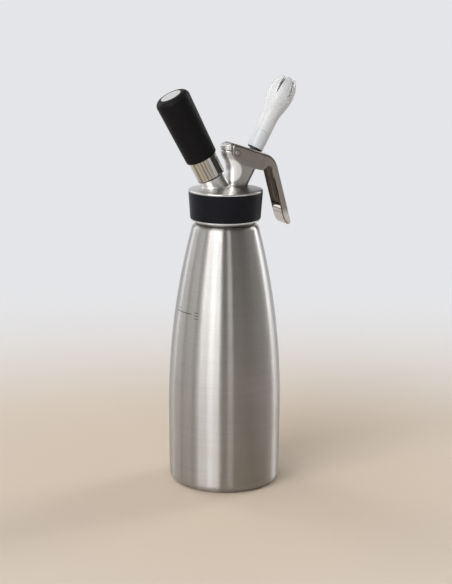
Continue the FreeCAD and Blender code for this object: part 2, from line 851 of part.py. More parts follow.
def handle_at(below, depth="0"):
    """A point of the handle's outer face below the pin, or that deep behind it."""
    return from_pin(f"handle_out - ({depth}) + handle_slope * (({below}) - handle_level)", below)


LEAN = "atan(handle_slope)"
ROOF_LEAN = "atan(roof_slope)"
BEND_ACROSS = ("((handle_out - handle_slope * (roof_height + handle_level))"
               " / (1 - handle_slope * roof_slope))")
BEND_REACH = f"(handle_bend * tan((90 deg - {LEAN} - {ROOF_LEAN}) / 2))"
HANDLE_DEPTH = f"(handle_thickness * cos({LEAN}))"
TIP_TURN = (f"acos((tip_under_curve + tip_point_round - {HANDLE_DEPTH})"
            " / (tip_under_curve - tip_point_round))")


def past_handle(along, across):
    """A point beyond the end of the handle's inner face, along that face and out from it."""
    start = handle_at("tip_inner_low", "handle_thickness")
    return (f"{start[0]} + {along} * sin({LEAN}) + {across} * cos({LEAN})",
            f"{start[1]} - {along} * cos({LEAN}) + {across} * sin({LEAN})")


def lever_blank(body):
    """Side view of cheeks, roof and handle, at full width; its arcs run on from its lines."""
    notch = handle_at("notch_drop", "handle_thickness")
    corner_reach = f"cheek_round * tan((90 deg + {ROOF_LEAN}) / 2)"
    extruded(body, "Blank", outline(body, "BlankOutline", [
        from_pin("-cheek_corner", "cheek_corner_low") + ("cheek_low_round",),
        from_pin("cheek_turn", "cheek_low") + ("cheek_low_curve",),
        from_pin("cheek_end", "cheek_end_low"),
        (f"{notch[0]} - notch_round * cos({LEAN})", f"{notch[1]} + notch_round * (1 - sin({LEAN}))"),
        notch + ("-notch_round",),
        handle_at("tip_inner_low", "handle_thickness"),
        past_handle(f"tip_under_curve * sin({TIP_TURN})", f"tip_under_curve * (1 - cos({TIP_TURN}))")
        + ("tip_under_curve",),
        past_handle(f"(tip_under_curve - tip_point_round) * sin({TIP_TURN})", HANDLE_DEPTH)
        + ("tip_point_round",),
        from_pin(f"{BEND_ACROSS} + {BEND_REACH} * sin({LEAN})",
                 f"roof_slope * {BEND_ACROSS} - roof_height + {BEND_REACH} * cos({LEAN})"),
        roof_at(f"{BEND_ACROSS} - {BEND_REACH} * cos({ROOF_LEAN})") + ("handle_bend",),
        roof_at(f"{corner_reach} * cos({ROOF_LEAN}) - cheek_left"),
        from_pin("-cheek_left", f"{corner_reach} - roof_height - roof_slope * cheek_left")
        + ("cheek_round",),
        from_pin("-cheek_left", "cheek_side_low"),
    ]), "2 * lever_half_width")


def lever_edges(body):
    """Rounded edges along the roof, the bend, the handle and its tip."""
    def outer_edge(edge):
        middle = edge.CenterOfMass
        side = abs(abs(middle.y) - number("lever_half_width")) < 0.01 and edge.BoundBox.YLength < 0.01
        handle = middle.x > number("pin_across + notch_across")
        roof = middle.z > number("pin_height") and middle.x > number("pin_across + cheek_round")
        return side and (handle or roof)

    rounded(body, "LeverEdges", "lever_round", outer_edge)


TAIL_LOW = f"({knuckle_top('tail_left')} + tail_gap)"
TAIL_TOP = f"({TAIL_LOW} + tail_height)"
PIN_CLEAR = "(boss_radius + tail_gap)"


def lever_tail(body):
    """Round-nosed stub over the tower's knuckle that stops the lever at rest."""
    extruded(body, "Tail", outline(body, "TailOutline", [
        ("tail_left", TAIL_LOW),
        ("pin_across", f"{knuckle_top('pin_across')} + tail_gap"),
        from_pin("0", "roof_wall - roof_height"),
        roof_at("-tail_ridge"),
        ("tail_left", TAIL_TOP),
    ]), "2 * tail_half_width")

    def nose_edge(edge):
        return abs(edge.CenterOfMass.x - number("tail_left")) < 0.01 and edge.BoundBox.YLength < 0.01

    rounded(body, "TailNose", "tail_half_width - nose_flat / 2", nose_edge)
    top = number(TAIL_TOP) - 0.01
    rounded(body, "TailRim", "tail_round", lambda edge: top < edge.BoundBox.ZMin and edge.BoundBox.XMin < 0)


def lever_channel(body):
    """Space between the cheeks, under the roof and round the tower's top."""
    far_left = "pin_across - 4 * cheek_left"
    extruded(body, "Channel", outline(body, "ChannelOutline", [
        (far_left, "pin_height - handle_level"),
        from_pin("channel_end", "handle_level"),
        roof_at("channel_end", f"{ROOF_UNDER} + channel_round"),
        roof_at("channel_end - channel_round", ROOF_UNDER) + ("channel_round",),
        roof_at(f"-{PIN_CLEAR} * sin(boss_end_angle)", ROOF_UNDER),
        from_pin(f"-{PIN_CLEAR} * sin(boss_end_angle)", f"-{PIN_CLEAR} * cos(boss_end_angle)"),
        from_pin(f"-{PIN_CLEAR} * cos(boss_end_angle)", f"-{PIN_CLEAR} * sin(boss_end_angle)")
        + (PIN_CLEAR,),
        (far_left, f"{knuckle_top(far_left)} + tail_gap"),
    ]), INNER_WIDTH, cut=True)


def lever_hollow(body):
    """Long hollow in the handle's inner face; it runs out in a round above the tip."""
    floor = f"({HANDLE_DEPTH} - roof_wall)"
    extruded(body, "Hollow", outline(body, "HollowOutline", [
        past_handle("-hollow_length", floor),
        past_handle("-hollow_end", floor),
        past_handle("(hollow_round - hollow_end)", f"({floor} - hollow_round)") + ("hollow_round",),
        past_handle("(hollow_round - hollow_end)", "-2 * notch_round"),
        past_handle("-hollow_length", "-2 * notch_round"),
    ]), INNER_WIDTH, cut=True)


def lever():
    body = new_piece("lever")
    lever_tail(body)
    lever_blank(body)
    lever_edges(body)
    lever_channel(body)
    lever_hollow(body)
    pusher = ring_outline(body, "PusherOutline", "0", "collar_high + pusher_gap + pusher_radius",
                          "pusher_radius", NOZZLE)
    extruded(body, "Pusher", pusher, "2 * lever_half_width - cheek_wall")
    extruded(body, "Slot", outline(body, "SlotOutline", [
        ("-slot_radius - slot_reach", "collar_high - pusher_radius"),
        ("slot_radius", "collar_high - pusher_radius"),
        ("slot_radius", "nozzle_low + pusher_radius"),
        ("-slot_radius - slot_reach", "nozzle_low + pusher_radius"),
    ], NOZZLE), "2 * slot_radius", cut=True)
    hole = ring_outline(body, "HingeHoleOutline", "pin_across", "pin_height", "pin_radius + running_gap")
    extruded(body, "HingeHole", hole, BORE_WIDTH, cut=True)


# ---------------------------------------------------------------------------------------------
# Dispensing valve: what the lever presses down, and its spring
# ---------------------------------------------------------------------------------------------
SEAT_FACE = "(valve_boss_low - seat_gap)"


def valve_stem():
    """Tube with a closed foot: cream enters by the ports over the foot when the seal is off its seat."""
    body = new_piece("valve_stem", NOZZLE)
    groove_low = "o_ring_height - o_ring_groove / 2"
    groove_high = "o_ring_height + o_ring_groove / 2"
    turned(body, "Stem", outline(body, "StemOutline", [
        ("0", "stem_low"),
        ("stem_flange_radius", "stem_low"),
        ("stem_flange_radius", "stem_low + stem_flange"),
        ("stem_neck", "stem_low + stem_flange"),
        ("stem_neck", SEAT_FACE),
        ("stem_radius", SEAT_FACE),
        ("stem_radius", groove_low),
        ("stem_radius - o_ring_depth", groove_low),
        ("stem_radius - o_ring_depth", groove_high),
        ("stem_radius", groove_high),
        ("stem_radius", "stem_step"),
        ("stem_thread_radius", "stem_step"),
        ("stem_thread_radius", "stem_top"),
        ("stem_bore", "stem_top"),
        ("stem_bore", "port_height - port_radius - stem_sump"),
        ("0", "port_height - port_radius - stem_sump"),
    ]))
    for name, role in (("PortAlong", "XZ_Plane"), ("PortAcross", "YZ_Plane")):
        port = ring_outline(body, name + "Outline", "0", "port_height", "port_radius", None, role)
        extruded(body, name, port, "2 * stem_flange_radius", cut=True)
    threaded(body, "StemThread", "stem_thread_radius", "stem_ridge", "stem_crest", "stem_root",
             "stem_thread_start", "stem_thread_rise", "stem_pitch")


def valve_seal():
    body = new_piece("valve_seal", NOZZLE)
    turned(body, "Seal", outline(body, "SealOutline", [
        ("stem_neck + seat_gap", "stem_low + stem_flange"),
        ("seal_outer", "stem_low + stem_flange"),
        ("seal_outer", SEAT_FACE),
        ("stem_neck + seat_gap", SEAT_FACE),
    ]))


def stem_o_ring():
    body = new_piece("stem_o_ring", NOZZLE)
    centre = "stem_radius - o_ring_depth + o_ring_wire / 2"
    turned(body, "Ring", ring_outline(body, "RingOutline", centre, "o_ring_height", "o_ring_wire / 2"))


def stem_collar():
    body = new_piece("stem_collar", NOZZLE)
    turned(body, "Collar", outline(body, "CollarOutline", [
        ("stem_radius + seat_gap", "collar_low"),
        ("collar_radius", "collar_low"),
        ("collar_radius", "collar_high"),
        ("stem_radius + seat_gap", "collar_high"),
    ]))
    rounded(body, "CollarEdge", "nozzle_edge", circle_at("collar_high", "collar_radius"))


def valve_spring():
    body = new_piece("valve_spring", NOZZLE)
    wire = ring_outline(body, "WireOutline", "spring_radius", "bush_high + seat_gap + spring_wire / 2",
                        "spring_wire / 2")
    coil = body.newObject("PartDesign::AdditiveHelix", "Coil")
    coil.Profile = wire
    coil.ReferenceAxis = (wire, ["V_Axis"])
    coil.Mode = "height-turns-angle"
    coil.setExpression("Height", tie("collar_low - bush_high - spring_wire - 2 * seat_gap"))
    coil.setExpression("Turns", tie("spring_turns"))


# ---------------------------------------------------------------------------------------------
# Nozzle: washer, screwed collar and tulip tip
# ---------------------------------------------------------------------------------------------
NOZZLE_BORE = "(stem_thread_radius + stem_ridge + stem_thread_gap)"
WASHER_TOP = "(stem_top + washer_thickness)"
TIP_LOW = "(nozzle_seam + tip_gap)"
SPIGOT_TOP = "(nozzle_seam + spigot_length)"


def tip_washer():
    body = new_piece("tip_washer", NOZZLE)
    turned(body, "Washer", outline(body, "WasherOutline", [
        ("stem_bore", "stem_top"),
        ("washer_radius", "stem_top"),
        ("washer_radius", WASHER_TOP),
        ("stem_bore", WASHER_TOP),
    ]))


def nozzle_collar():
    body = new_piece("nozzle_collar", NOZZLE)
    turned(body, "Collar", outline(body, "CollarOutline", [
        (NOZZLE_BORE, "nozzle_low"),
        ("nozzle_low_radius - nozzle_edge", "nozzle_low"),
        ("nozzle_low_radius", "nozzle_low + nozzle_edge", "nozzle_edge"),
        ("nozzle_seam_radius", "nozzle_seam"),
        ("spigot_radius", "nozzle_seam"),
        ("spigot_radius", SPIGOT_TOP),
        ("stem_bore", SPIGOT_TOP),
        ("stem_bore", WASHER_TOP),
        (NOZZLE_BORE, WASHER_TOP),
    ]))
    threaded(body, "CollarThread", NOZZLE_BORE, "-stem_ridge", "stem_crest", "stem_root",
             "(stem_thread_start + stem_pitch / 2)", "tip_thread_rise", "stem_pitch")


def tulip_tip():
    """Flared shell that closes again in petals between V-shaped slits."""
    body = new_piece("tulip_tip", NOZZLE)
    socket = "spigot_radius + seat_gap"
    lean = "((tip_turn - tip_flare_start) / flare_in_curve)"
    turned(body, "Flare", outline(body, "FlareOutline", [
        (socket, TIP_LOW),
        ("tip_low_radius", TIP_LOW),
        ("tip_low_radius", "tip_flare_start"),
        ("tip_turn_radius", "tip_turn", "-flare_in_curve"),
        ("tip_belly_radius", "tip_belly", "flare_out_curve"),
        ("tip_mouth_radius", "tip_end", "petal_curve"),
        ("tip_mouth_radius - tip_wall", "tip_end - tip_wall / 2"),
        ("tip_belly_radius - tip_wall", "tip_belly", "-(petal_curve - tip_wall)"),
        ("tip_turn_radius - tip_wall", f"tip_turn + tip_wall * {lean}", "-(flare_out_curve - tip_wall)"),
        ("tip_low_radius - tip_wall", "tip_flare_start", "flare_in_curve + tip_wall"),
        ("tip_throat", "tip_throat_top"),
        ("tip_throat", f"{SPIGOT_TOP} + tip_gap"),
        (socket, f"{SPIGOT_TOP} + tip_gap"),
    ]))
    sketch = outline(body, "SlitOutline", [
        ("-slit_low_width / 2", "slit_low"),
        ("slit_low_width / 2", "slit_low"),
        ("slit_width / 2", "tip_end + tip_wall"),
        ("-slit_width / 2", "tip_end + tip_wall"),
    ])
    sketch.AttachmentOffset = Placement(Vector(0, 0, 0), Rotation(Vector(0, 1, 0), number("slit_phase")))
    sketch.setExpression("AttachmentOffset.Rotation.Angle", tie("slit_phase"))
    slit = extruded(body, "Slit", sketch, "4 * tip_belly_radius", cut=True)
    doc.recompute()
    ring = body.newObject("PartDesign::PolarPattern", "Slits")
    ring.Originals = [slit]
    ring.Axis = (sketch, ["V_Axis"])
    ring.Occurrences = int(number("slit_count") / 2)
    ring.setExpression("Occurrences", tie("slit_count / 2"))
    ring.Angle = 360 * (ring.Occurrences - 1) / number("slit_count")
    ring.setExpression("Angle", tie("360 * (slit_count / 2 - 1) / slit_count"))
    body.Tip = ring


# ---------------------------------------------------------------------------------------------
# Gas charger and its holder
# ---------------------------------------------------------------------------------------------
SLEEVE_BORE = "(boss_thread_radius + holder_ridge + holder_thread_gap)"
CAPSULE_END = "(capsule_mouth + capsule_length)"
CAPSULE_TURN = "(capsule_mouth + capsule_length - capsule_radius)"
CAPSULE_INSIDE = "(capsule_radius - capsule_wall)"
CAP_LOW = "(capsule_mouth + cap_inset)"
CAP_TOP = "(capsule_mouth + cap_inset + cap_thickness)"


def charger_bulb():
    """Steel gas capsule, its neck down in the head's boss."""
    body = new_piece("charger_bulb", CHARGER)
    turned(body, "Capsule", outline(body, "CapsuleOutline", [
        ("cap_radius + seat_gap", "capsule_mouth"),
        ("capsule_neck", "capsule_mouth"),
        ("capsule_neck", "capsule_neck_top"),
        ("capsule_radius", "capsule_shoulder", "capsule_curve"),
        ("capsule_radius", CAPSULE_TURN),
        ("0", CAPSULE_END, "capsule_radius"),
        ("0", f"{CAPSULE_END} - capsule_wall"),
        (CAPSULE_INSIDE, CAPSULE_TURN, f"-{CAPSULE_INSIDE}"),
        (CAPSULE_INSIDE, "capsule_shoulder"),
        ("capsule_throat", "capsule_neck_top"),
        ("capsule_throat", CAP_TOP),
        ("cap_radius + seat_gap", CAP_TOP),
    ]))


def charger_cap():
    body = new_piece("charger_cap", CHARGER)
    turned(body, "Cap", outline(body, "CapOutline", [
        ("needle_radius + pierced_gap", CAP_LOW),
        ("cap_radius", CAP_LOW),
        ("cap_radius", CAP_TOP),
        ("needle_radius + pierced_gap", CAP_TOP),
    ]))


def holder_sleeve():
    """Metal cup that screws on the boss; its open end is the bright ring under the grip."""
    body = new_piece("holder_sleeve", CHARGER)
    turned(body, "Sleeve", outline(body, "SleeveOutline", [
        (SLEEVE_BORE, "sleeve_low"),
        ("sleeve_radius - sleeve_edge", "sleeve_low"),
        ("sleeve_radius", "sleeve_low + sleeve_edge", "sleeve_edge"),
        ("sleeve_radius", "grip_low"),
        ("sleeve_under_radius", "grip_low"),
        ("sleeve_under_radius", "sleeve_end"),
        ("0", "sleeve_end"),
        ("0", "sleeve_floor"),
        ("sleeve_bore", "sleeve_floor"),
        ("sleeve_bore", "sleeve_step"),
        (SLEEVE_BORE, "sleeve_step"),
    ]))
    threaded(body, "SleeveThread", SLEEVE_BORE, "-holder_ridge", "holder_crest", "holder_root",
             "(holder_thread_start + holder_pitch / 2)", "sleeve_thread_rise", "holder_pitch")


def holder_grip():
    """Soft grip moulded over the sleeve, a little wider towards its end."""
    body = new_piece("holder_grip", CHARGER)
    disc_floor = "grip_end - disc_thickness"
    turned(body, "Grip", outline(body, "GripOutline", [
        ("sleeve_under_radius + seat_gap", "grip_low"),
        ("grip_low_radius - grip_low_round", "grip_low"),
        ("grip_low_radius", "grip_low + grip_low_round", "grip_low_round"),
        ("grip_high_radius", "grip_end - grip_round"),
        ("grip_high_radius - grip_round", "grip_end", "grip_round"),
        ("disc_radius + seat_gap", "grip_end"),
        ("disc_radius + seat_gap", disc_floor),
        ("0", disc_floor),
        ("0", "sleeve_end"),
        ("sleeve_under_radius + seat_gap", "sleeve_end"),
    ]))


def end_disc():
    body = new_piece("end_disc", CHARGER)
    turned(body, "Disc", outline(body, "DiscOutline", [
        ("0", "grip_end - disc_thickness"),
        ("disc_radius", "grip_end - disc_thickness"),
        ("disc_radius", "grip_end"),
        ("0", "grip_end"),
    ]))


def pressure_pad():
    body = new_piece("pressure_pad", CHARGER)
    turned(body, "Pad", outline(body, "PadOutline", [
        ("0", "sleeve_floor - pad_thickness"),
        ("pad_radius", "sleeve_floor - pad_thickness"),
        ("pad_radius", "sleeve_floor"),
        ("0", "sleeve_floor"),
    ]))


MAKERS = (
    outer_shell, inner_liner, neck_ring, base_plate, vacuum_seal, head_gasket,
    head_body, grip_band, lever_pin, valve_bush, valve_seat,
    check_valve, piercing_insert, piercing_pin, piercing_seal,
    lever, valve_stem, valve_seal, stem_o_ring, stem_collar, valve_spring,
    tip_washer, nozzle_collar, tulip_tip,
    charger_bulb, charger_cap, holder_sleeve, holder_grip, end_disc, pressure_pad,
)
for make in MAKERS:
    make()
doc.recompute()

for item in doc.Objects:
    if {"Invalid", "Error"} & set(item.State):
        raise RuntimeError(f"{item.Name} failed: {item.State}")
for piece in pieces:
    if piece.Shape.isNull() or not piece.Shape.isValid() or len(piece.Shape.Solids) != 1:
        raise RuntimeError(f"{piece.Label} is not one valid solid")

os.makedirs("parts", exist_ok=True)
for piece in pieces:
    piece.Shape.exportStep(os.path.join("parts", piece.Label + ".step"))
    box = piece.Shape.BoundBox
    print(f"{piece.Label:16s} {piece.Shape.Volume:10.1f} mm3  x {box.XMin:6.1f} {box.XMax:6.1f}"
          f"  y {box.YMin:6.1f} {box.YMax:6.1f}  z {box.ZMin:6.1f} {box.ZMax:6.1f}")
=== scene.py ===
# %% [markdown]
# # A whipped cream dispenser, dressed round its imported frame
#
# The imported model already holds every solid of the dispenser: the steel bottle, the screw-on head
# with its lever, the slanted nozzle and the slanted gas holder. This lesson gives each of them its
# real surface, adds the few details that are too fine for a solid, and lights the whole thing.
# Everything is in metres, in the same frame as the solids, so nothing has to be fitted.

# %% Load the frame
import math

import bpy
from mathutils import Matrix, Vector


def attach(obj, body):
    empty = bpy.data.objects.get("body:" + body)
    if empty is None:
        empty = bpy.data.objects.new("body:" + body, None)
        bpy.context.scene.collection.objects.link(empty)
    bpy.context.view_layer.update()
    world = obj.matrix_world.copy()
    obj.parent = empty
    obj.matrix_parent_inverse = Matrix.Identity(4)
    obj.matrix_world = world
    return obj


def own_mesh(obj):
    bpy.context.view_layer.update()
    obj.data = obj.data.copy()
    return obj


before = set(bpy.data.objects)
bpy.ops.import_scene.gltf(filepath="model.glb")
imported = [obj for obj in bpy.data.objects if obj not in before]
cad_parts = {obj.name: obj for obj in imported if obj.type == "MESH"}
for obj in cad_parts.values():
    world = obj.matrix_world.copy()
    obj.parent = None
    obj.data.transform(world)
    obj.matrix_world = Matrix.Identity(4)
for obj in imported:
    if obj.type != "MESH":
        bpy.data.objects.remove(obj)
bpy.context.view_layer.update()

# %% [markdown]
# ## The two slanted axes
# The bottle stands upright, but the nozzle and the gas holder lean away from each other. Grain,
# brushing and added pieces on them have to follow their own axis, so each axis gets a matrix that
# takes a point on an upright drawing to its place in the model. The two lean by the same angle,
# one towards +X and the other towards -X.

# %% Frames of the slanted axes
MM = 0.001
TILT = math.radians(28.3)
# heights at which the two slanted axes cross the bottle's own
NOZZLE_APEX = 234 * MM
HOLDER_APEX = 237.7 * MM


def slanted_axis(apex, tilt):
    """Where an upright drawing's points go when its axis leans from a crossing on the bottle's."""
    return Matrix.Translation((0, 0, apex)) @ Matrix.Rotation(tilt, 4, "Y")


upright = Matrix.Identity(4)
nozzle_axis = slanted_axis(NOZZLE_APEX, TILT)
holder_axis = slanted_axis(HOLDER_APEX, -TILT)
print("nozzle points along", tuple(round(v, 3) for v in nozzle_axis.to_3x3() @ Vector((0, 0, 1))))

# %% [markdown]
# ## Small helpers for node trees
# Every finish below is a node tree. Placing and joining nodes takes the same two steps each time:
# make the node, then feed its inputs with a number or with another node's output. One helper does
# both, and the others are short names for the nodes that are used most, so that a finish reads as
# a recipe.

# %% Node helpers
def node(tree, kind, settings=None, **inputs):
    """A new node; each input is a constant or another node's output.

    An input goes by its name, with _ for a space, or by its place, as i0, i1 and so on.
    """
    made = tree.nodes.new(kind)
    for name, value in (settings or {}).items():
        setattr(made, name, value)
    for name, value in inputs.items():
        place = int(name[1:]) if name[1:].isdigit() else name.replace("_", " ")
        if isinstance(value, bpy.types.NodeSocket):
            tree.links.new(value, made.inputs[place])
        else:
            made.inputs[place].default_value = value
    return made


def in_order(values):
    """Values under the names of a node's places: i0, i1 and so on."""
    return {f"i{place}": value for place, value in enumerate(values)}


def maths(tree, operation, *values):
    """One Math node and its result."""
    return node(tree, "ShaderNodeMath", {"operation": operation}, **in_order(values)).outputs[0]


def vector_maths(tree, operation, *vectors):
    """One Vector Math node and its result, a number or a vector."""
    made = node(tree, "ShaderNodeVectorMath", {"operation": operation}, **in_order(vectors))
    is_number = operation in ("DOT_PRODUCT", "LENGTH", "DISTANCE")
    return made.outputs["Value" if is_number else "Vector"]


def added(tree, total, *others):
    """The sum of several values."""
    for other in others:
        total = maths(tree, "ADD", total, other)
    return total


print("node helpers:", node.__name__, maths.__name__, vector_maths.__name__, added.__name__)

# %% [markdown]
# ## Ranges, noise and groups
# A mask is a value from 0 to 1 over the surface. Map Range with a smooth step turns any value into
# one, and turns a mask into a range of roughness. Noise is the other ingredient: it hovers round
# one half, so it is stretched before use. An effect that several finishes need becomes a node
# group with named inputs, which is built once and placed as often as needed.

# %% Range, noise and group helpers
NOISE_LOW, NOISE_HIGH = 0.3, 0.7
FLOAT, VECTOR = "NodeSocketFloat", "NodeSocketVector"


def remap(tree, value, low, high, to_low=0.0, to_high=1.0):
    """A value's range from low to high, eased onto another range."""
    return node(tree, "ShaderNodeMapRange", {"interpolation_type": "SMOOTHSTEP"},
                i0=value, i1=low, i2=high, i3=to_low, i4=to_high).outputs[0]


def spread(tree, mask, low, high):
    """A mask, eased onto a range of its own."""
    return remap(tree, mask, 0.0, 1.0, low, high)


def noise(tree, position, scale, detail=2.0, roughness=0.6):
    """Noise, most of it between NOISE_LOW and NOISE_HIGH."""
    return node(tree, "ShaderNodeTexNoise", Vector=position, Scale=scale, Detail=detail,
                Roughness=roughness).outputs[0]


def new_group(name, inputs, outputs):
    """A shader node group with named sockets; returns the tree, its inputs and its output node."""
    tree = bpy.data.node_groups.new(name, "ShaderNodeTree")
    for socket_name, (kind, value) in inputs.items():
        socket = tree.interface.new_socket(name=socket_name, in_out="INPUT", socket_type=kind)
        if value is not None:
            socket.default_value = value
    for socket_name, kind in outputs.items():
        tree.interface.new_socket(name=socket_name, in_out="OUTPUT", socket_type=kind)
    return tree, tree.nodes.new("NodeGroupInput").outputs, tree.nodes.new("NodeGroupOutput")


def placed_group(tree, group, **inputs):
    """A group placed in a tree with its own values; returns its outputs."""
    return node(tree, "ShaderNodeGroup", {"node_tree": group}, **inputs).outputs


print("noise is stretched from", NOISE_LOW, "to", NOISE_HIGH)

# %% [markdown]
# ## Effect 1: brushing
# The bottle is spun against an abrasive pad, which leaves thousands of fine lines round it. A noise
# texture gives such lines when it is squeezed along the axis and stretched round it. Two sizes of
# line are mixed: single hairlines, and broader passes of the pad. The group puts out one value, and
# each finish decides how far that value moves its roughness, its tone and its relief.

# %% Brushing group
# how close the lines of each size lie, as a share of the lines per mm
HAIRLINES, PAD_PASSES = 1.0, 0.12


def make_brushing():
    tree, given, result = new_group(
        "Brushing",
        {"Position": (VECTOR, None), "Lines per mm": (FLOAT, 2.0), "Stretch": (FLOAT, 12.0),
         "Passes": (FLOAT, 0.4)},
        {"Lines": FLOAT})
    per_metre = maths(tree, "MULTIPLY", given["Lines per mm"], 1 / MM)
    layers = []
    for share in (HAIRLINES, PAD_PASSES):
        squeeze = node(tree, "ShaderNodeCombineXYZ", X=given["Stretch"], Y=given["Stretch"],
                       Z=maths(tree, "MULTIPLY", per_metre, share)).outputs[0]
        layers.append(noise(tree, vector_maths(tree, "MULTIPLY", given["Position"], squeeze), 1.0))
    mixed = node(tree, "ShaderNodeMix", {"data_type": "FLOAT"}, i0=given["Passes"],
                 i2=layers[0], i3=layers[1]).outputs[0]
    tree.links.new(remap(tree, mixed, NOISE_LOW, NOISE_HIGH), result.inputs["Lines"])
    return tree


brushing = make_brushing()
print("group:", brushing.name)

# %% [markdown]
# ## Effect 2: grain and handling
# Cast steel that was tumbled, and plastic from a spark-eroded mould, have an even fine grain. Over
# it lies what hands and cloths leave: wide soft patches that are a little glossier or duller. Both
# are noise, one fine and one wide, so one group gives both values from one position.

# %% Grain group
GRAIN_SOFTNESS = 0.55
FINE_DETAIL, WIDE_DETAIL = 2.0, 3.0


def make_grain():
    tree, given, result = new_group(
        "Grain and handling",
        {"Position": (VECTOR, None), "Grain mm": (FLOAT, 0.3), "Patch mm": (FLOAT, 20.0)},
        {"Grain": FLOAT, "Patches": FLOAT})
    for size, output, detail in (("Grain mm", "Grain", FINE_DETAIL),
                                 ("Patch mm", "Patches", WIDE_DETAIL)):
        per_metre = maths(tree, "DIVIDE", 1 / MM, given[size])
        speckle = noise(tree, given["Position"], per_metre, detail, GRAIN_SOFTNESS)
        tree.links.new(remap(tree, speckle, NOISE_LOW, NOISE_HIGH), result.inputs[output])
    return tree


grain = make_grain()
print("group:", grain.name)

# %% [markdown]
# ## Effect 3: worn edges, and a painted highlight
# Handling polishes the edges of metal first. The Bevel node gives the normal that an edge would
# have if it were rounded; where that differs from the real normal there is an edge, and the
# difference is the mask. It costs a few rays, which is worth it on the head and the lever. On the
# lever the mask also makes the colour paler, partly as wear and partly as a painted highlight.

# %% Edge wear and highlight group
EDGE_RANGE = 0.15


def make_edge_wear_and_highlight():
    tree, given, result = new_group(
        "Edge wear and highlight", {"Width mm": (FLOAT, 0.5), "Start": (FLOAT, 0.02)}, {"Edge": FLOAT})
    radius = maths(tree, "MULTIPLY", given["Width mm"], MM)
    rounded = node(tree, "ShaderNodeBevel", {"samples": 4}, Radius=radius).outputs[0]
    own = node(tree, "ShaderNodeNewGeometry").outputs["Normal"]
    differ = maths(tree, "SUBTRACT", 1.0, vector_maths(tree, "DOT_PRODUCT", rounded, own))
    full = maths(tree, "ADD", given["Start"], EDGE_RANGE)
    tree.links.new(remap(tree, differ, given["Start"], full), result.inputs["Edge"])
    return tree


edge_wear_and_highlight = make_edge_wear_and_highlight()
print("group:", edge_wear_and_highlight.name)

# %% [markdown]
# ## Positions that follow an axis
# A finish on a slanted piece needs positions measured along the piece, not along the room. Undoing
# the lean with a Mapping node of the texture kind does that, and the same node with no lean
# serves the upright pieces.

# %% Position along an axis
def axis_position(tree, axis):
    """Object position, turned so that Z runs along a piece's own axis."""
    return node(tree, "ShaderNodeMapping", {"vector_type": "TEXTURE"},
                Vector=node(tree, "ShaderNodeTexCoord").outputs["Object"],
                Location=axis.to_translation(), Rotation=axis.to_euler()).outputs[0]


print("axes for finishes: upright, nozzle_axis, holder_axis")

# %% [markdown]
# ## What every finish shares
# A finish is a Principled shader. What is the same all over a surface is set on the shader itself,
# such as how metallic it is, and what varies is fed to it: colour, roughness, and a normal from a
# bump. Roughness never comes out even on a real surface, so the grain and the patches of handling
# both move it a little.

# %% Finish helpers
def new_finish(name, colour, **constants):
    """A material with its shader set by constants; returns the material, tree and shader."""
    material = bpy.data.materials.new(name)
    material.use_nodes = True
    shader = material.node_tree.nodes["Principled BSDF"]
    shader.inputs["Base Color"].default_value = (*colour, 1.0)
    for socket, value in constants.items():
        shader.inputs[socket.replace("_", " ")].default_value = value
    return material, material.node_tree, shader


def feed(tree, shader, **links):
    """Joins values to the shader's sockets."""
    for socket, value in links.items():
        tree.links.new(value, shader.inputs[socket.replace("_", " ")])


def relief(tree, height, depth_mm):
    """A bump from a height that varies from 0 to 1."""
    return node(tree, "ShaderNodeBump", Height=height, Distance=depth_mm * MM).outputs[0]


def tinted(tree, mask, under, over):
    """A colour between two, chosen by a mask; each is three numbers or a node's output."""
    under, over = (colour if isinstance(colour, bpy.types.NodeSocket) else (*colour, 1.0)
                   for colour in (under, over))
    return node(tree, "ShaderNodeMix", {"data_type": "RGBA"}, i0=mask, i6=under,
                i7=over).outputs[2]


def uneven(tree, surface, dull, vary):
    """Roughness round a value, moved by the grain and again by the patches of handling."""
    return added(tree, spread(tree, surface["Grain"], dull - vary, dull + vary),
                 spread(tree, surface["Patches"], -vary, vary))


print("finish helpers ready")

# %% [markdown]
# ## Etched fill line
# A fine line on the bottle's side shows how far it may be filled, with a few short ticks beside
# it. On the real bottle it is etched, which leaves the surface in place and only dulls and darkens
# it, so it belongs to the finish and not to the shape. Each stroke is a mask: inside a narrow band
# of height, and inside a narrow range of directions seen from the bottle's axis.

# %% Etched strokes
# a stroke is its direction and half angle in degrees, and its height and half thickness in mm
FILL_LINE = (-172, 14.5, 151.4, 0.32)
TICK_TOP, TICK_STEP, TICKS = 153.0, 2.4, 3
FILL_TICKS = [(-150.5, 2.6, TICK_TOP - TICK_STEP * step, 0.28) for step in range(TICKS)]
UPPER_TICK = (-180, 3.0, 154.4, 0.22)
STROKES = [FILL_LINE, *FILL_TICKS, UPPER_TICK]
STROKE_BLUR = 0.08
STROKE_END_BLUR = 0.0004


def etched_stroke(tree, level, height, stroke):
    """Mask of one stroke, from the level direction and the height of each point."""
    direction, half_angle, middle, half = stroke
    angle = math.radians(direction)
    near = vector_maths(tree, "DOT_PRODUCT", level, (math.cos(angle), math.sin(angle), 0))
    end = math.cos(math.radians(half_angle))
    away = maths(tree, "ABSOLUTE", maths(tree, "SUBTRACT", height, middle * MM))
    band = remap(tree, away, (half + STROKE_BLUR) * MM, (half - STROKE_BLUR) * MM)
    return maths(tree, "MULTIPLY", band,
                 remap(tree, near, end - STROKE_END_BLUR, end + STROKE_END_BLUR))


def etched_marks(tree, position):
    """All strokes of the fill line in one mask."""
    level = vector_maths(tree, "NORMALIZE", vector_maths(tree, "MULTIPLY", position, (1, 1, 0)))
    height = node(tree, "ShaderNodeSeparateXYZ", Vector=position).outputs["Z"]
    mask = 0.0
    for stroke in STROKES:
        mask = maths(tree, "MAXIMUM", mask, etched_stroke(tree, level, height, stroke))
    return mask


print("etched strokes:", len(STROKES))

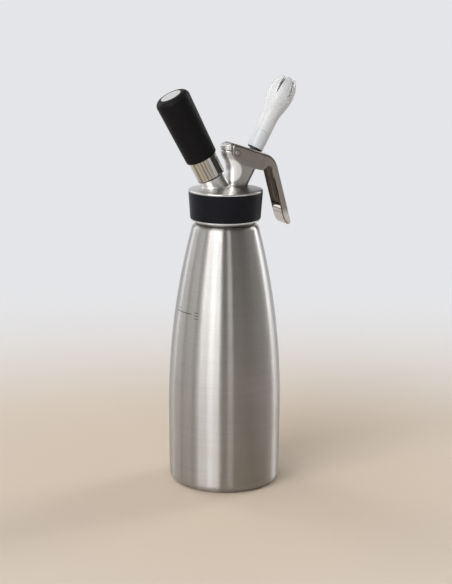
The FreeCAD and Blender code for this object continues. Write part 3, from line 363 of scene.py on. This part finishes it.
# %% [markdown]
# ## Brushed bottle steel
# On brushed metal every line is a tiny cylinder, so a reflection is smeared across the lines: here
# up and down the bottle. That is what draws a window into one long bright stripe. The shader's
# anisotropy does it, with a tangent that runs round the bottle's axis. The brushing group then
# breaks the smooth gloss up into lines.

# %% Brushed steel
STEEL = (0.40, 0.391, 0.38)
STEEL_DARK = (0.362, 0.352, 0.341)
ETCHED = (0.09, 0.085, 0.08)
# roughness: of the lines, what wiping adds, and what etching adds
LINE_DULL, WIPED_DULL, ETCHED_DULL = (0.30, 0.35), (-0.015, 0.025), 0.2
LINE_DEPTH_MM = 0.0004


def make_brushed_steel():
    material, tree, shader = new_finish("Brushed steel", STEEL, Metallic=1.0, Roughness=0.32,
                                        Anisotropic=1.0, Anisotropic_Rotation=0.25)
    position = axis_position(tree, upright)
    lines = placed_group(tree, brushing, Position=position, Lines_per_mm=3.0, Stretch=14.0,
                         Passes=0.2)["Lines"]
    wipes = placed_group(tree, grain, Position=position, Grain_mm=0.5, Patch_mm=35.0)["Patches"]
    marks = etched_marks(tree, position)
    dull = added(tree, spread(tree, lines, *LINE_DULL), spread(tree, wipes, *WIPED_DULL),
                 maths(tree, "MULTIPLY", marks, ETCHED_DULL))
    tangent = node(tree, "ShaderNodeTangent", {"direction_type": "RADIAL", "axis": "Z"})
    feed(tree, shader, Roughness=dull, Normal=relief(tree, lines, LINE_DEPTH_MM),
         Base_Color=tinted(tree, marks, tinted(tree, lines, STEEL_DARK, STEEL), ETCHED),
         Tangent=tangent.outputs[0])
    return material


brushed_steel = make_brushed_steel()
print("finish:", brushed_steel.name)

# %% [markdown]
# ## Places on the cast head
# The head is cast, tumbled to a satin and then polished where it shows as a bright rim. The rim is
# part of the same casting, so the finish itself finds it, by its distance from the bottle's axis.
# In the same way it finds the knuckle that the lever turns on, whose colour is made paler as a
# painted highlight, and the tower's side towards the nozzle, whose colour is darkened as painted
# shade.

# %% The head's own places
# paler steel, painted as a highlight on the knuckle and on the lever's tail, tip and edges
HIGHLIGHT_STEEL = (0.90, 0.89, 0.875)
# darker steel, painted as shade on the tower's side towards the nozzle
PAINTED_SHADE_STEEL = (0.34, 0.325, 0.305)
EDGE_GLOSS = 0.6
RIM_START, RIM_BLUR = 30.2 * MM, 0.2 * MM
KNUCKLE = (1.5 * MM, 0, 267 * MM)
KNUCKLE_REACH, KNUCKLE_BLUR = 9.5 * MM, 1 * MM
TOWER_LOW, TOWER_BLUR = 247 * MM, 4 * MM
SHADE_FROM, SHADE_FULL = 2 * MM, 6 * MM


def head_places(tree, position, edge, colour, rough):
    """Colour, roughness and glossy places of the head: a painted highlight on the knuckle, painted
    shade on the side towards the nozzle, a glossy rim.
    """
    x, _, z = node(tree, "ShaderNodeSeparateXYZ", Vector=position).outputs
    in_side_view = vector_maths(tree, "MULTIPLY", position, (1, 0, 1))
    reach = vector_maths(tree, "DISTANCE", in_side_view, KNUCKLE)
    near = remap(tree, reach, KNUCKLE_REACH + KNUCKLE_BLUR, KNUCKLE_REACH - KNUCKLE_BLUR)
    painted_shade_side = maths(tree, "MULTIPLY", remap(tree, x, SHADE_FROM, SHADE_FULL),
                   maths(tree, "SUBTRACT", 1.0, near))
    high = remap(tree, z, TOWER_LOW, TOWER_LOW + TOWER_BLUR)
    # painted highlight: the knuckle's colour is made paler
    colour = tinted(tree, maths(tree, "MULTIPLY", high, near), colour, HIGHLIGHT_STEEL)
    # painted shade: the tower's side towards the nozzle is darkened
    colour = tinted(tree, maths(tree, "MULTIPLY", high, painted_shade_side), colour, PAINTED_SHADE_STEEL)
    across = vector_maths(tree, "LENGTH", vector_maths(tree, "MULTIPLY", position, (1, 1, 0)))
    rim = remap(tree, across, RIM_START, RIM_START + RIM_BLUR)
    glossy = maths(tree, "MAXIMUM", maths(tree, "MULTIPLY", edge, EDGE_GLOSS), rim)
    return colour, rough, glossy


print("knuckle at", KNUCKLE, "rim from", RIM_START)

# %% [markdown]
# ## Places on the lever
# The lever is the same kind of casting, with a darker copy of the head's steel as painted shade,
# and it is the piece that hands touch. Its stop tail is bare and a little rougher; the tail and the
# tip where fingers pull are paler as painted highlights, and its edges are paler from wear and from
# a painted highlight. The palm has smoothed the handle, so it gets glossier from the cheeks
# outwards, with no line between.

# %% The lever's own places
TAIL_END, TAIL_BLUR, TAIL_DULL = 1.1 * MM, 0.5 * MM, 0.22
HIGHLIGHT_TIP_TOP, HIGHLIGHT_TIP_BLUR = 230 * MM, 4 * MM
PALM_START, PALM_FULL = 22 * MM, 48 * MM
TAIL_HIGHLIGHT_SHARE, TIP_HIGHLIGHT_SHARE, EDGE_WEAR_HIGHLIGHT_SHARE = 0.6, 0.5, 0.45


def lever_places(tree, position, edge, colour, rough):
    """Colour, roughness and glossy places of the lever: painted highlights on the tail and tip,
    wear and a painted highlight on the edges.
    """
    x, _, z = node(tree, "ShaderNodeSeparateXYZ", Vector=position).outputs
    tail = remap(tree, x, TAIL_END + TAIL_BLUR, TAIL_END - TAIL_BLUR)
    tip = remap(tree, z, HIGHLIGHT_TIP_TOP + HIGHLIGHT_TIP_BLUR, HIGHLIGHT_TIP_TOP - HIGHLIGHT_TIP_BLUR)
    # painted highlights on the tail and tip; on the edges, wear together with a painted highlight
    pale = 0.0
    for place, share in ((tail, TAIL_HIGHLIGHT_SHARE), (tip, TIP_HIGHLIGHT_SHARE), (edge, EDGE_WEAR_HIGHLIGHT_SHARE)):
        pale = maths(tree, "MAXIMUM", pale, maths(tree, "MULTIPLY", place, share))
    rough = added(tree, rough, maths(tree, "MULTIPLY", tail, TAIL_DULL))
    glossy = maths(tree, "MAXIMUM", maths(tree, "MULTIPLY", edge, EDGE_GLOSS),
                   remap(tree, x, PALM_START, PALM_FULL))
    return tinted(tree, pale, colour, HIGHLIGHT_STEEL), rough, glossy


print("tail up to", TAIL_END, "palm from", PALM_START)

# %% [markdown]
# ## Satin steel
# Both castings share the rest of the finish: a fine grain, wide soft patches, worn edges, and half
# the roughness where they are glossy. The piece's own places come in as a function.

# %% Satin steel
SATIN_VARY = 0.03
SATIN_GRAIN_MM, SATIN_PATCH_MM, SATIN_DEPTH_MM = 0.25, 14.0, 0.004
EDGE_START = 0.03
GLOSSY_SHARE = 0.5


def make_satin_steel(name, light, dark, dull, edge_width, places):
    material, tree, shader = new_finish(name, light, Metallic=1.0)
    position = axis_position(tree, upright)
    surface = placed_group(tree, grain, Position=position, Grain_mm=SATIN_GRAIN_MM,
                           Patch_mm=SATIN_PATCH_MM)
    edge = placed_group(tree, edge_wear_and_highlight, Width_mm=edge_width, Start=EDGE_START)["Edge"]
    colour, rough, glossy = places(tree, position, edge,
                                   tinted(tree, surface["Patches"], dark, light),
                                   uneven(tree, surface, dull, SATIN_VARY))
    rough = maths(tree, "MULTIPLY", rough, spread(tree, glossy, 1.0, GLOSSY_SHARE))
    feed(tree, shader, Base_Color=colour, Roughness=rough,
         Normal=relief(tree, surface["Grain"], SATIN_DEPTH_MM))
    return material


head_steel = make_satin_steel("Satin head steel", (0.62, 0.61, 0.59), (0.56, 0.55, 0.53),
                              0.33, 0.4, head_places)
# the lever's darker steel is painted shade, a darker copy of the head's
lever_steel_painted_shade = make_satin_steel("Satin lever steel with painted shade", (0.26, 0.232, 0.208), (0.23, 0.205, 0.183),
                               0.32, 0.8, lever_places)
print("finishes:", head_steel.name, "and", lever_steel_painted_shade.name)

# %% [markdown]
# ## Turned metal
# Small turned parts keep the fine rings of the lathe tool, which the brushing group gives with less
# stretch. One recipe serves all of them with its own axis, colour and gloss. The plated disc in the
# end of the gas holder is the glossiest: almost no roughness, with a trace of wiping marks so that
# it isn't sterile.

# %% Turned metal
RING_STRETCH, RING_PASSES = 3.0, 0.3
RING_GLOSS = (0.8, 1.2)
WIPED_MORE, WIPED_TONE = 0.4, 0.93


def make_turned_metal(name, colour, axis, dull, rings, ring_depth):
    material, tree, shader = new_finish(name, colour, Metallic=1.0)
    position = axis_position(tree, axis)
    lines = placed_group(tree, brushing, Position=position, Lines_per_mm=rings,
                         Stretch=RING_STRETCH, Passes=RING_PASSES)["Lines"]
    wipes = placed_group(tree, grain, Position=position, Grain_mm=0.4, Patch_mm=9.0)["Patches"]
    rough = added(tree, spread(tree, lines, *(dull * share for share in RING_GLOSS)),
                  spread(tree, wipes, 0.0, dull * WIPED_MORE))
    darker = tuple(part * WIPED_TONE for part in colour)
    feed(tree, shader, Base_Color=tinted(tree, wipes, darker, colour), Roughness=rough,
         Normal=relief(tree, lines, ring_depth))
    return material


chrome = make_turned_metal("Plated disc", (0.82, 0.81, 0.79), holder_axis, 0.05, 1.5, 0.0004)
# the pin's darker steel is painted shade, matching the lever's tone
pin_steel_painted_shade = make_turned_metal("Pin steel darkened as painted shade", (0.36, 0.335, 0.31), upright, 0.3, 2.5, 0.002)
# painted shade: a dark steel for the neck under the band and for the rings at the pin
shade_darkened_steel = make_turned_metal("Steel darkened as painted shade", (0.20, 0.185, 0.17), upright, 0.4, 2.5, 0.002)
polished_steel = make_turned_metal("Polished steel", (0.66, 0.65, 0.63), upright, 0.16, 2.5, 0.002)
stem_steel = make_turned_metal("Stem steel", (0.66, 0.65, 0.63), nozzle_axis, 0.2, 2.5, 0.002)
capsule_steel = make_turned_metal("Capsule steel", (0.62, 0.62, 0.6), holder_axis, 0.24, 2.0,
                                  0.002)
brass = make_turned_metal("Brass", (0.74, 0.58, 0.30), nozzle_axis, 0.22, 2.5, 0.002)
print("turned finishes:", chrome.name, pin_steel_painted_shade.name, shade_darkened_steel.name, polished_steel.name,
      stem_steel.name, capsule_steel.name, brass.name)

# %% [markdown]
# ## Drawn metal with painted reflections
# The gas holder's sleeve is a tube that was drawn through a die and plated. Its colour holds
# painted reflections: straight streaks along it, some lighter and some darker, stand for the narrow
# reflections of a cluttered room. Noise that is stretched along the axis gives them, in a wide and
# in a narrow size.

# %% Drawn metal with painted reflections
# painted reflection streaks per mm round the tube, and each size's share
REFLECTION_STREAKS = ((0.22, 0.6), (0.9, 0.4))
STREAK_ALONG = 0.02
STREAK_LOW, STREAK_HIGH = 0.36, 0.64
DARK_STREAK_DULL = 1.3


def make_streaked_reflection_metal(name, light, dark, axis, dull):
    material, tree, shader = new_finish(name, light, Metallic=1.0)
    drawn_out = vector_maths(tree, "MULTIPLY", axis_position(tree, axis),
                             (1 / MM, 1 / MM, STREAK_ALONG / MM))
    layers = [maths(tree, "MULTIPLY",
                    remap(tree, noise(tree, drawn_out, scale), STREAK_LOW, STREAK_HIGH), share)
              for scale, share in REFLECTION_STREAKS]
    reflection_streaks = added(tree, *layers)
    feed(tree, shader, Base_Color=tinted(tree, reflection_streaks, dark, light),
         Roughness=spread(tree, reflection_streaks, dull * DARK_STREAK_DULL, dull))
    return material


# the sleeve's light and dark streaks of colour are painted reflections
sleeve_painted_reflections = make_streaked_reflection_metal("Sleeve with painted reflections", (0.82, 0.82, 0.80), (0.25, 0.215, 0.17),
                                holder_axis, 0.06)
print("finish:", sleeve_painted_reflections.name)

# %% [markdown]
# ## Rubber and plastics
# The band and the grip are black, but not the same black: the band is moulded silicone with a soft
# blue-grey gloss, and the grip is a soft-touch plastic, duller and a little warmer. Both are so
# dark that a full gloss would turn them grey, so the shader's specular level is low. The collar
# and the tip are moulded in a satin plastic. All of them have a mould grain.

# %% Moulded finishes
MOULDED_VARY, MOULDED_PATCH_MM, MOULDED_TONE = 0.04, 16.0, 0.9


def make_moulded(name, colour, axis, dull, grain_mm, grain_depth, **constants):
    material, tree, shader = new_finish(name, colour, **constants)
    surface = placed_group(tree, grain, Position=axis_position(tree, axis), Grain_mm=grain_mm,
                           Patch_mm=MOULDED_PATCH_MM)
    darker = tuple(part * MOULDED_TONE for part in colour)
    feed(tree, shader, Base_Color=tinted(tree, surface["Patches"], darker, colour),
         Roughness=uneven(tree, surface, dull, MOULDED_VARY),
         Normal=relief(tree, surface["Grain"], grain_depth))
    return material


band_rubber = make_moulded("Band rubber", (0.006, 0.0065, 0.0095), upright, 0.38, 0.35, 0.002,
                           Specular_IOR_Level=0.09)
grip_plastic = make_moulded("Soft-touch grip", (0.0055, 0.0047, 0.0055), holder_axis, 0.5, 0.3,
                            0.003, Specular_IOR_Level=0.09)
seal_rubber = make_moulded("Seal rubber", (0.03, 0.03, 0.032), upright, 0.6, 0.4, 0.006)
collar_plastic = make_moulded("Collar plastic", (0.50, 0.525, 0.54), nozzle_axis, 0.36, 0.25,
                              0.004)
tip_plastic = make_moulded("Tip plastic", (0.53, 0.535, 0.54), nozzle_axis, 0.34, 0.25, 0.003)
print("moulded finishes:", band_rubber.name, grip_plastic.name, seal_rubber.name,
      collar_plastic.name, tip_plastic.name)

# %% [markdown]
# ## Giving each solid its finish
# A solid whose shape is already right keeps it and only gets a better surface. The list below names
# every solid by the finish it wears, and what is printed names any solid that was forgotten.

# %% Dress the solids
WEARS = {
    brushed_steel: ("outer_shell",),
    head_steel: ("head_body",),
    lever_steel_painted_shade: ("lever",),
    polished_steel: ("inner_liner", "base_plate"),
    pin_steel_painted_shade: ("lever_pin",),
    shade_darkened_steel: ("neck_ring",),
    chrome: ("end_disc",),
    sleeve_painted_reflections: ("holder_sleeve",),
    stem_steel: ("valve_stem", "valve_spring", "stem_collar"),
    brass: ("valve_bush", "valve_seat", "piercing_insert", "charger_cap"),
    capsule_steel: ("charger_bulb", "piercing_pin"),
    band_rubber: ("grip_band",),
    grip_plastic: ("holder_grip",),
    seal_rubber: ("head_gasket", "check_valve", "piercing_seal", "valve_seal", "stem_o_ring",
                  "tip_washer", "pressure_pad", "vacuum_seal"),
    collar_plastic: ("nozzle_collar",),
    tip_plastic: ("tulip_tip",),
}
bare = set(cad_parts)
for finish, names in WEARS.items():
    for name in names:
        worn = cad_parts[name].data.materials
        worn.clear()
        worn.append(finish)
        bare.remove(name)
print("dressed:", len(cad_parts) - len(bare), "bare:", sorted(bare))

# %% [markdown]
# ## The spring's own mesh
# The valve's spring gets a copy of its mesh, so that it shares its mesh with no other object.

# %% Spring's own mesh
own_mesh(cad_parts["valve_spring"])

# %% [markdown]
# ## Turning a profile into a ring
# A few narrow rings finish the joints between the big pieces. All of them are round, so each is a
# small closed profile turned round its axis. Corners get a few points of their own, because no
# real edge is perfectly sharp. Each ring rides on a body.

# %% Ring tools
RING_STEPS = 160
CORNER_STEPS = 4


def box_profile(inner, outer, low, high):
    """A plain ring's profile: inner and outer radius, lower and upper end, in mm."""
    return [(inner, low), (outer, low), (outer, high), (inner, high)]


def softened(corners, size):
    """A closed profile with each corner cut back by a size and rounded by a few points."""
    points = []
    for index, corner in enumerate(corners):
        corner = Vector(corner)
        before = Vector(corners[index - 1]) - corner
        after = Vector(corners[(index + 1) % len(corners)]) - corner
        start, end = corner + before.normalized() * size, corner + after.normalized() * size
        for step in range(CORNER_STEPS + 1):
            share = step / CORNER_STEPS
            points.append((1 - share) ** 2 * start + 2 * share * (1 - share) * corner
                          + share ** 2 * end)
    return points


def turned_ring(name, profile, axis, body, finish):
    """A closed profile of radius and height in mm, turned round an axis into a watertight ring."""
    mesh = bpy.data.meshes.new(name)
    size = len(profile)
    corners, faces = [], []
    for step in range(RING_STEPS):
        angle = 2 * math.pi * step / RING_STEPS
        corners += [axis @ Vector((radius * math.cos(angle) * MM, radius * math.sin(angle) * MM,
                                   high * MM)) for radius, high in profile]
        here, there = step * size, (step + 1) % RING_STEPS * size
        for index in range(size):
            follow = (index + 1) % size
            faces.append((here + index, there + index, there + follow, here + follow))
    mesh.from_pydata(corners, [], faces)
    mesh.validate()
    mesh.shade_smooth()
    mesh.materials.append(finish)
    ring = bpy.data.objects.new(name, mesh)
    bpy.context.scene.collection.objects.link(ring)
    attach(ring, body)
    return ring


print("ring steps:", RING_STEPS)

# %% [markdown]
# ## Rubber rings
# A dark ring under the gas holder's sleeve stands for the shade in the gap there, as painted shade,
# and on the nozzle a boot covers the stem and a foot ring sits under the collar. They are plain
# rings of seal rubber.

# %% Dark ring as painted shade under the sleeve, boot and foot ring
# the profile's sizes and its corners' size in mm, the axis, and the body that it rides on
RUBBER_RINGS = {
    # a dark ring under the sleeve: painted shade for the gap there
    "sleeve_shade_ring": ((10.7, 11.75, 28.75, 29.58), 0.15, holder_axis, "holder"),
    "collar_foot": ((4.0, 6.45, 56.2, 56.78), 0.15, nozzle_axis, "tip"),
    "stem_boot": ((3.52, 4.05, 52.2, 56.1), 0.12, nozzle_axis, "valve"),
}
for name, (sizes, corner, axis, body) in RUBBER_RINGS.items():
    turned_ring(name, softened(box_profile(*sizes), corner), axis, body, seal_rubber)
print("rubber rings:", ", ".join(RUBBER_RINGS))

# %% [markdown]
# ## Rings round the pin's ends
# Where the pin comes through the lever's cheeks, a turned shoulder shows as a thin ring on each
# side, darkened as painted shade for the gap round the pin. It is drawn once, upright, and then
# laid over to one side and to the other.

# %% Pin rings
PIN_PLACE = Vector((6 * MM, 0, 282 * MM))
PIN_RING, PIN_RING_CORNER = (2.15, 3.0, 9.7, 9.93), 0.08
for side, name in ((-1, "near_pin_ring"), (1, "far_pin_ring")):
    pin_axis = Matrix.Translation(PIN_PLACE) @ Matrix.Rotation(side * math.radians(-90), 4, "X")
    turned_ring(name, softened(box_profile(*PIN_RING), PIN_RING_CORNER), pin_axis, "lever",
                shade_darkened_steel)
print("pin rings at", [round(v, 4) for v in PIN_PLACE])

# %% [markdown]
# ## Root of the neck's weld
# The neck ring is welded into the bottle's shoulder, and the weld is dressed to a smooth hollow.
# Its profile is most of a quarter of a small circle, and the rest of the ring is buried in metal.

# %% Neck weld
ROOT_RADIUS = 1.7
ROOT_CENTRE = (25.3, 224.09)
ROOT_TURN, ROOT_STEP = 75, 5
# what is buried: the ring's back, its lowest height, and how far out it goes down there
ROOT_BACK, ROOT_LOW, ROOT_OUT = 23.4, 222.1, 24.8


def neck_root():
    """Concave ring between the neck and the shoulder, its back buried in both."""
    bow = [(ROOT_CENTRE[0] - ROOT_RADIUS * math.cos(math.radians(turn)),
            ROOT_CENTRE[1] - ROOT_RADIUS * math.sin(math.radians(turn)))
           for turn in range(0, ROOT_TURN + 1, ROOT_STEP)]
    return [(ROOT_BACK, ROOT_CENTRE[1]), *bow, (ROOT_OUT, ROOT_LOW), (ROOT_BACK, ROOT_LOW)]


# the weld, like the neck ring, is darkened as painted shade under the band
turned_ring("neck_weld", neck_root()[::-1], upright, "bottle", shade_darkened_steel)
print("neck weld points:", len(neck_root()))

# %% [markdown]
# ## The camera's side
# The room, the lamps and the floor are all laid out from where the camera stands, so its direction
# comes first. A bearing is an angle seen from above, counted from the camera, and bearings to the
# view's right are positive.

# %% Directions from the camera
LOOK = Vector((0.42676, 0.87645, -0.22300)).normalized()
CAMERA_BEARING = math.atan2(-LOOK.y, -LOOK.x)


def level_direction(bearing):
    """The level direction at a bearing from the camera, in degrees."""
    angle = CAMERA_BEARING + math.radians(bearing)
    return Vector((math.cos(angle), math.sin(angle), 0))


AWAY = -level_direction(0)
print("the camera looks along", tuple(round(part, 3) for part in LOOK))

# %% [markdown]
# ## The room round the dispenser
# Metal has no colour of its own to speak of: it shows the room. Windows to the left of the camera
# and one far to the right give the long bright stripes, and the dim side of the room gives the
# dark ones. Each is a soft patch of the world, and noise breaks all of them up as a real room's
# clutter does. Overhead there is a pale ceiling.

# %% Light of the room
ROOM_TONE = (0.06, 0.055, 0.05)
# bearing in degrees, half width, softness, brightness, and the sine of the elevation it starts at
ROOM = {
    "left rear window": (-138, 14, 5, 2.4, 0),
    "side wall": (-90, 50, 6, 1.35, 0),
    "shelf": (-97, 5, 3, -0.9, 0),
    "window's jamb": (-67, 4, 3, -0.9, 0),
    "window": (-46, 12, 3, 4.0, 0.16),
    "open sash": (-22, 12, 2, 4.6, 0),
    "lamp strip": (12, 5, 2, 2.0, 0),
    "doorway": (34, 6, 5, 0.08, 0),
    "skylight": (104, 9, 3, 2.4, 0.66),
    "far window": (128, 10, 2, 4.8, 0),
    "post": (166, 8, 4, -0.7, 0),
}
SILL_BLUR = 0.05
WINDOW_TOP, TOP_BLUR = 0.8, 0.1
CLUTTER_SCALE, CLUTTER_DETAIL, CLUTTER = 12.0, 3.0, (0.62, 1.38)
CEILING, CEILING_FROM, CEILING_FULL = 0.45, 0.7, 0.95


def room_patch(tree, level, up, patch):
    """Brightness of one patch, from a ray's level direction and the sine of its elevation."""
    bearing, half, soft, brightness, sill = patch
    facing = vector_maths(tree, "DOT_PRODUCT", level, level_direction(bearing))
    light = remap(tree, maths(tree, "ARCCOSINE", facing), math.radians(half + soft),
                  math.radians(half - soft), 0.0, brightness)
    if sill:
        above = remap(tree, up, sill - SILL_BLUR, sill + SILL_BLUR)
        light = maths(tree, "MULTIPLY", light, above)
    return light


def room_light(tree, level, up):
    """Colour of the room along a ray: patches, clutter, the windows' top and the ceiling."""
    light = added(tree, *(room_patch(tree, level, up, patch) for patch in ROOM.values()))
    clutter = noise(tree, level, CLUTTER_SCALE, CLUTTER_DETAIL)
    for share in (remap(tree, clutter, NOISE_LOW, NOISE_HIGH, *CLUTTER),
                  remap(tree, up, WINDOW_TOP + TOP_BLUR, WINDOW_TOP - TOP_BLUR)):
        light = maths(tree, "MULTIPLY", light, share)
    light = added(tree, light, remap(tree, up, CEILING_FROM, CEILING_FULL, 0.0, CEILING))
    light = maths(tree, "MAXIMUM", light, -min(ROOM_TONE))
    return vector_maths(tree, "ADD", ROOM_TONE, light)


print("room patches:", ", ".join(ROOM))

# %% [markdown]
# ## The backdrop
# What the camera sees directly, and what glass would let through, is a plain pale backdrop. It also
# stands behind the part for metal to reflect, as wide and as high as a real one would.

# %% World
BACKDROP = (0.775, 0.785, 0.81)
# half width of the backdrop in degrees, and the sine of its top, each from outside to inside
BACKDROP_WIDE, BACKDROP_TOP = (52, 36), (0.75, 0.5)


def backdrop_share(tree, level, up):
    """Mask of the rays that show the backdrop and not the room."""
    facing = vector_maths(tree, "DOT_PRODUCT", level, AWAY)
    wide = remap(tree, facing, *(math.cos(math.radians(half)) for half in BACKDROP_WIDE))
    behind = maths(tree, "MULTIPLY", wide, remap(tree, up, *BACKDROP_TOP))
    rays = node(tree, "ShaderNodeLightPath").outputs
    plain = maths(tree, "MAXIMUM", rays["Is Camera Ray"], rays["Is Transmission Ray"])
    return maths(tree, "MAXIMUM", plain, behind)


def make_room():
    world = bpy.data.worlds.new("Room")
    bpy.context.scene.world = world
    world.use_nodes = True
    tree = world.node_tree
    tree.nodes.clear()
    ray = node(tree, "ShaderNodeTexCoord").outputs["Generated"]
    level = vector_maths(tree, "NORMALIZE", vector_maths(tree, "MULTIPLY", ray, (1, 1, 0)))
    up = node(tree, "ShaderNodeSeparateXYZ", Vector=ray).outputs["Z"]
    seen = tinted(tree, backdrop_share(tree, level, up), room_light(tree, level, up), BACKDROP)
    background = node(tree, "ShaderNodeBackground", Color=seen, Strength=1.0)
    node(tree, "ShaderNodeOutputWorld", Surface=background.outputs[0])
    return world


room = make_room()
print("world:", room.name)

# %% [markdown]
# ## Lamps
# The room alone would leave the white plastic flat. Two large soft lamps shape it: a little more of
# the window's light from the left, and a broad fill from the right. They are kept out of
# reflections, which the room's patches already give.

# %% Soft lamps
LAMP_TARGET = Vector((0, 0, 0.17))
# bearing and rise in degrees, distance, width and height in metres, power in watts, and colour
LAMPS = {
    "window_lamp": (-38, 32, 1.4, 0.9, 1.1, 0.5, (1.0, 0.99, 0.97)),
    "fill_lamp": (70, 30, 1.5, 1.0, 1.0, 1.8, (0.96, 0.98, 1.0)),
}


def soft_lamp(name, bearing, rise, distance, width, height, watts, colour):
    """A large area lamp that faces the part."""
    rise = math.radians(rise)
    towards = level_direction(bearing) * math.cos(rise) + Vector((0, 0, math.sin(rise)))
    light = bpy.data.lights.new(name, "AREA")
    light.shape, light.size, light.size_y = "RECTANGLE", width, height
    light.energy, light.color = watts, colour
    lamp = bpy.data.objects.new(name, light)
    lamp.location = LAMP_TARGET + towards * distance
    lamp.rotation_euler = (-towards).to_track_quat("-Z", "Y").to_euler()
    lamp.visible_glossy = False
    bpy.context.scene.collection.objects.link(lamp)


for name, sizes in LAMPS.items():
    soft_lamp(name, *sizes)
print("lamps:", ", ".join(LAMPS))

# %% [markdown]
# ## Floor
# One wide plane, pale, and a little warmer under the bottle than further out. Far away it turns
# into the backdrop, so no horizon shows, and the object's soft shadow is the only thing on it.

# %% Pale floor
FLOOR_REACH = 40.0
FLOOR_NEAR, FLOOR_FAR = (0.55, 0.46, 0.37), (0.68, 0.66, 0.64)
# distances in metres: where the warm colour ends, and where the backdrop takes over
WARM_ENDS = (0.1, 0.8)
BACKDROP_BEHIND, BACKDROP_AROUND = (0.12, 0.85), (0.9, 2.5)


def make_floor_finish():
    """Pale matt floor that shows as backdrop to camera and mirror rays where it is far away."""
    material, tree, shader = new_finish("Pale floor", FLOOR_FAR, Roughness=0.7,
                                        Specular_IOR_Level=0.2)
    position = axis_position(tree, upright)
    distance = vector_maths(tree, "LENGTH", position)
    feed(tree, shader,
         Base_Color=tinted(tree, remap(tree, distance, *WARM_ENDS), FLOOR_NEAR, FLOOR_FAR))
    behind = vector_maths(tree, "DOT_PRODUCT", position, AWAY)
    far = maths(tree, "MAXIMUM", remap(tree, behind, *BACKDROP_BEHIND),
                remap(tree, distance, *BACKDROP_AROUND))
    rays = node(tree, "ShaderNodeLightPath").outputs
    plain = maths(tree, "MAXIMUM", rays["Is Camera Ray"],
                  maths(tree, "MAXIMUM", rays["Is Glossy Ray"], rays["Is Transmission Ray"]))
    backdrop = node(tree, "ShaderNodeEmission", Color=(*BACKDROP, 1.0), Strength=1.0)
    joined = node(tree, "ShaderNodeMixShader", i0=maths(tree, "MULTIPLY", plain, far),
                  i1=shader.outputs[0], i2=backdrop.outputs[0])
    tree.links.new(joined.outputs[0], tree.nodes["Material Output"].inputs["Surface"])
    return material


def make_floor():
    mesh = bpy.data.meshes.new("floor")
    corners = [(-FLOOR_REACH, -FLOOR_REACH, 0), (FLOOR_REACH, -FLOOR_REACH, 0),
               (FLOOR_REACH, FLOOR_REACH, 0), (-FLOOR_REACH, FLOOR_REACH, 0)]
    mesh.from_pydata(corners, [], [(0, 1, 2, 3)])
    mesh.materials.append(make_floor_finish())
    floor = bpy.data.objects.new("floor", mesh)
    bpy.context.scene.collection.objects.link(floor)


make_floor()
print("floor side:", 2 * FLOOR_REACH, "m")

# %% [markdown]
# ## Camera
# A long lens from in front, a little to the left and above, so that the side view of the head opens
# up and its top still shows.

# %% Camera
CAMERA_PLACE = Vector((-0.5538, -1.1392, 0.4531))
CAMERA_ROLL = math.radians(0.35)
LENS_MM = 94.97


def make_camera():
    lens = bpy.data.cameras.new("camera")
    lens.lens, lens.clip_start, lens.clip_end = LENS_MM, 0.01, 60.0
    camera = bpy.data.objects.new("camera", lens)
    camera.location = CAMERA_PLACE
    facing = LOOK.to_track_quat("-Z", "Y").to_matrix() @ Matrix.Rotation(CAMERA_ROLL, 3, "Z")
    camera.rotation_euler = facing.to_euler()
    bpy.context.scene.collection.objects.link(camera)
    bpy.context.scene.camera = camera
    return camera


camera = make_camera()
bpy.context.scene.view_settings.view_transform = "Standard"
print("camera at", tuple(round(v, 3) for v in camera.location))
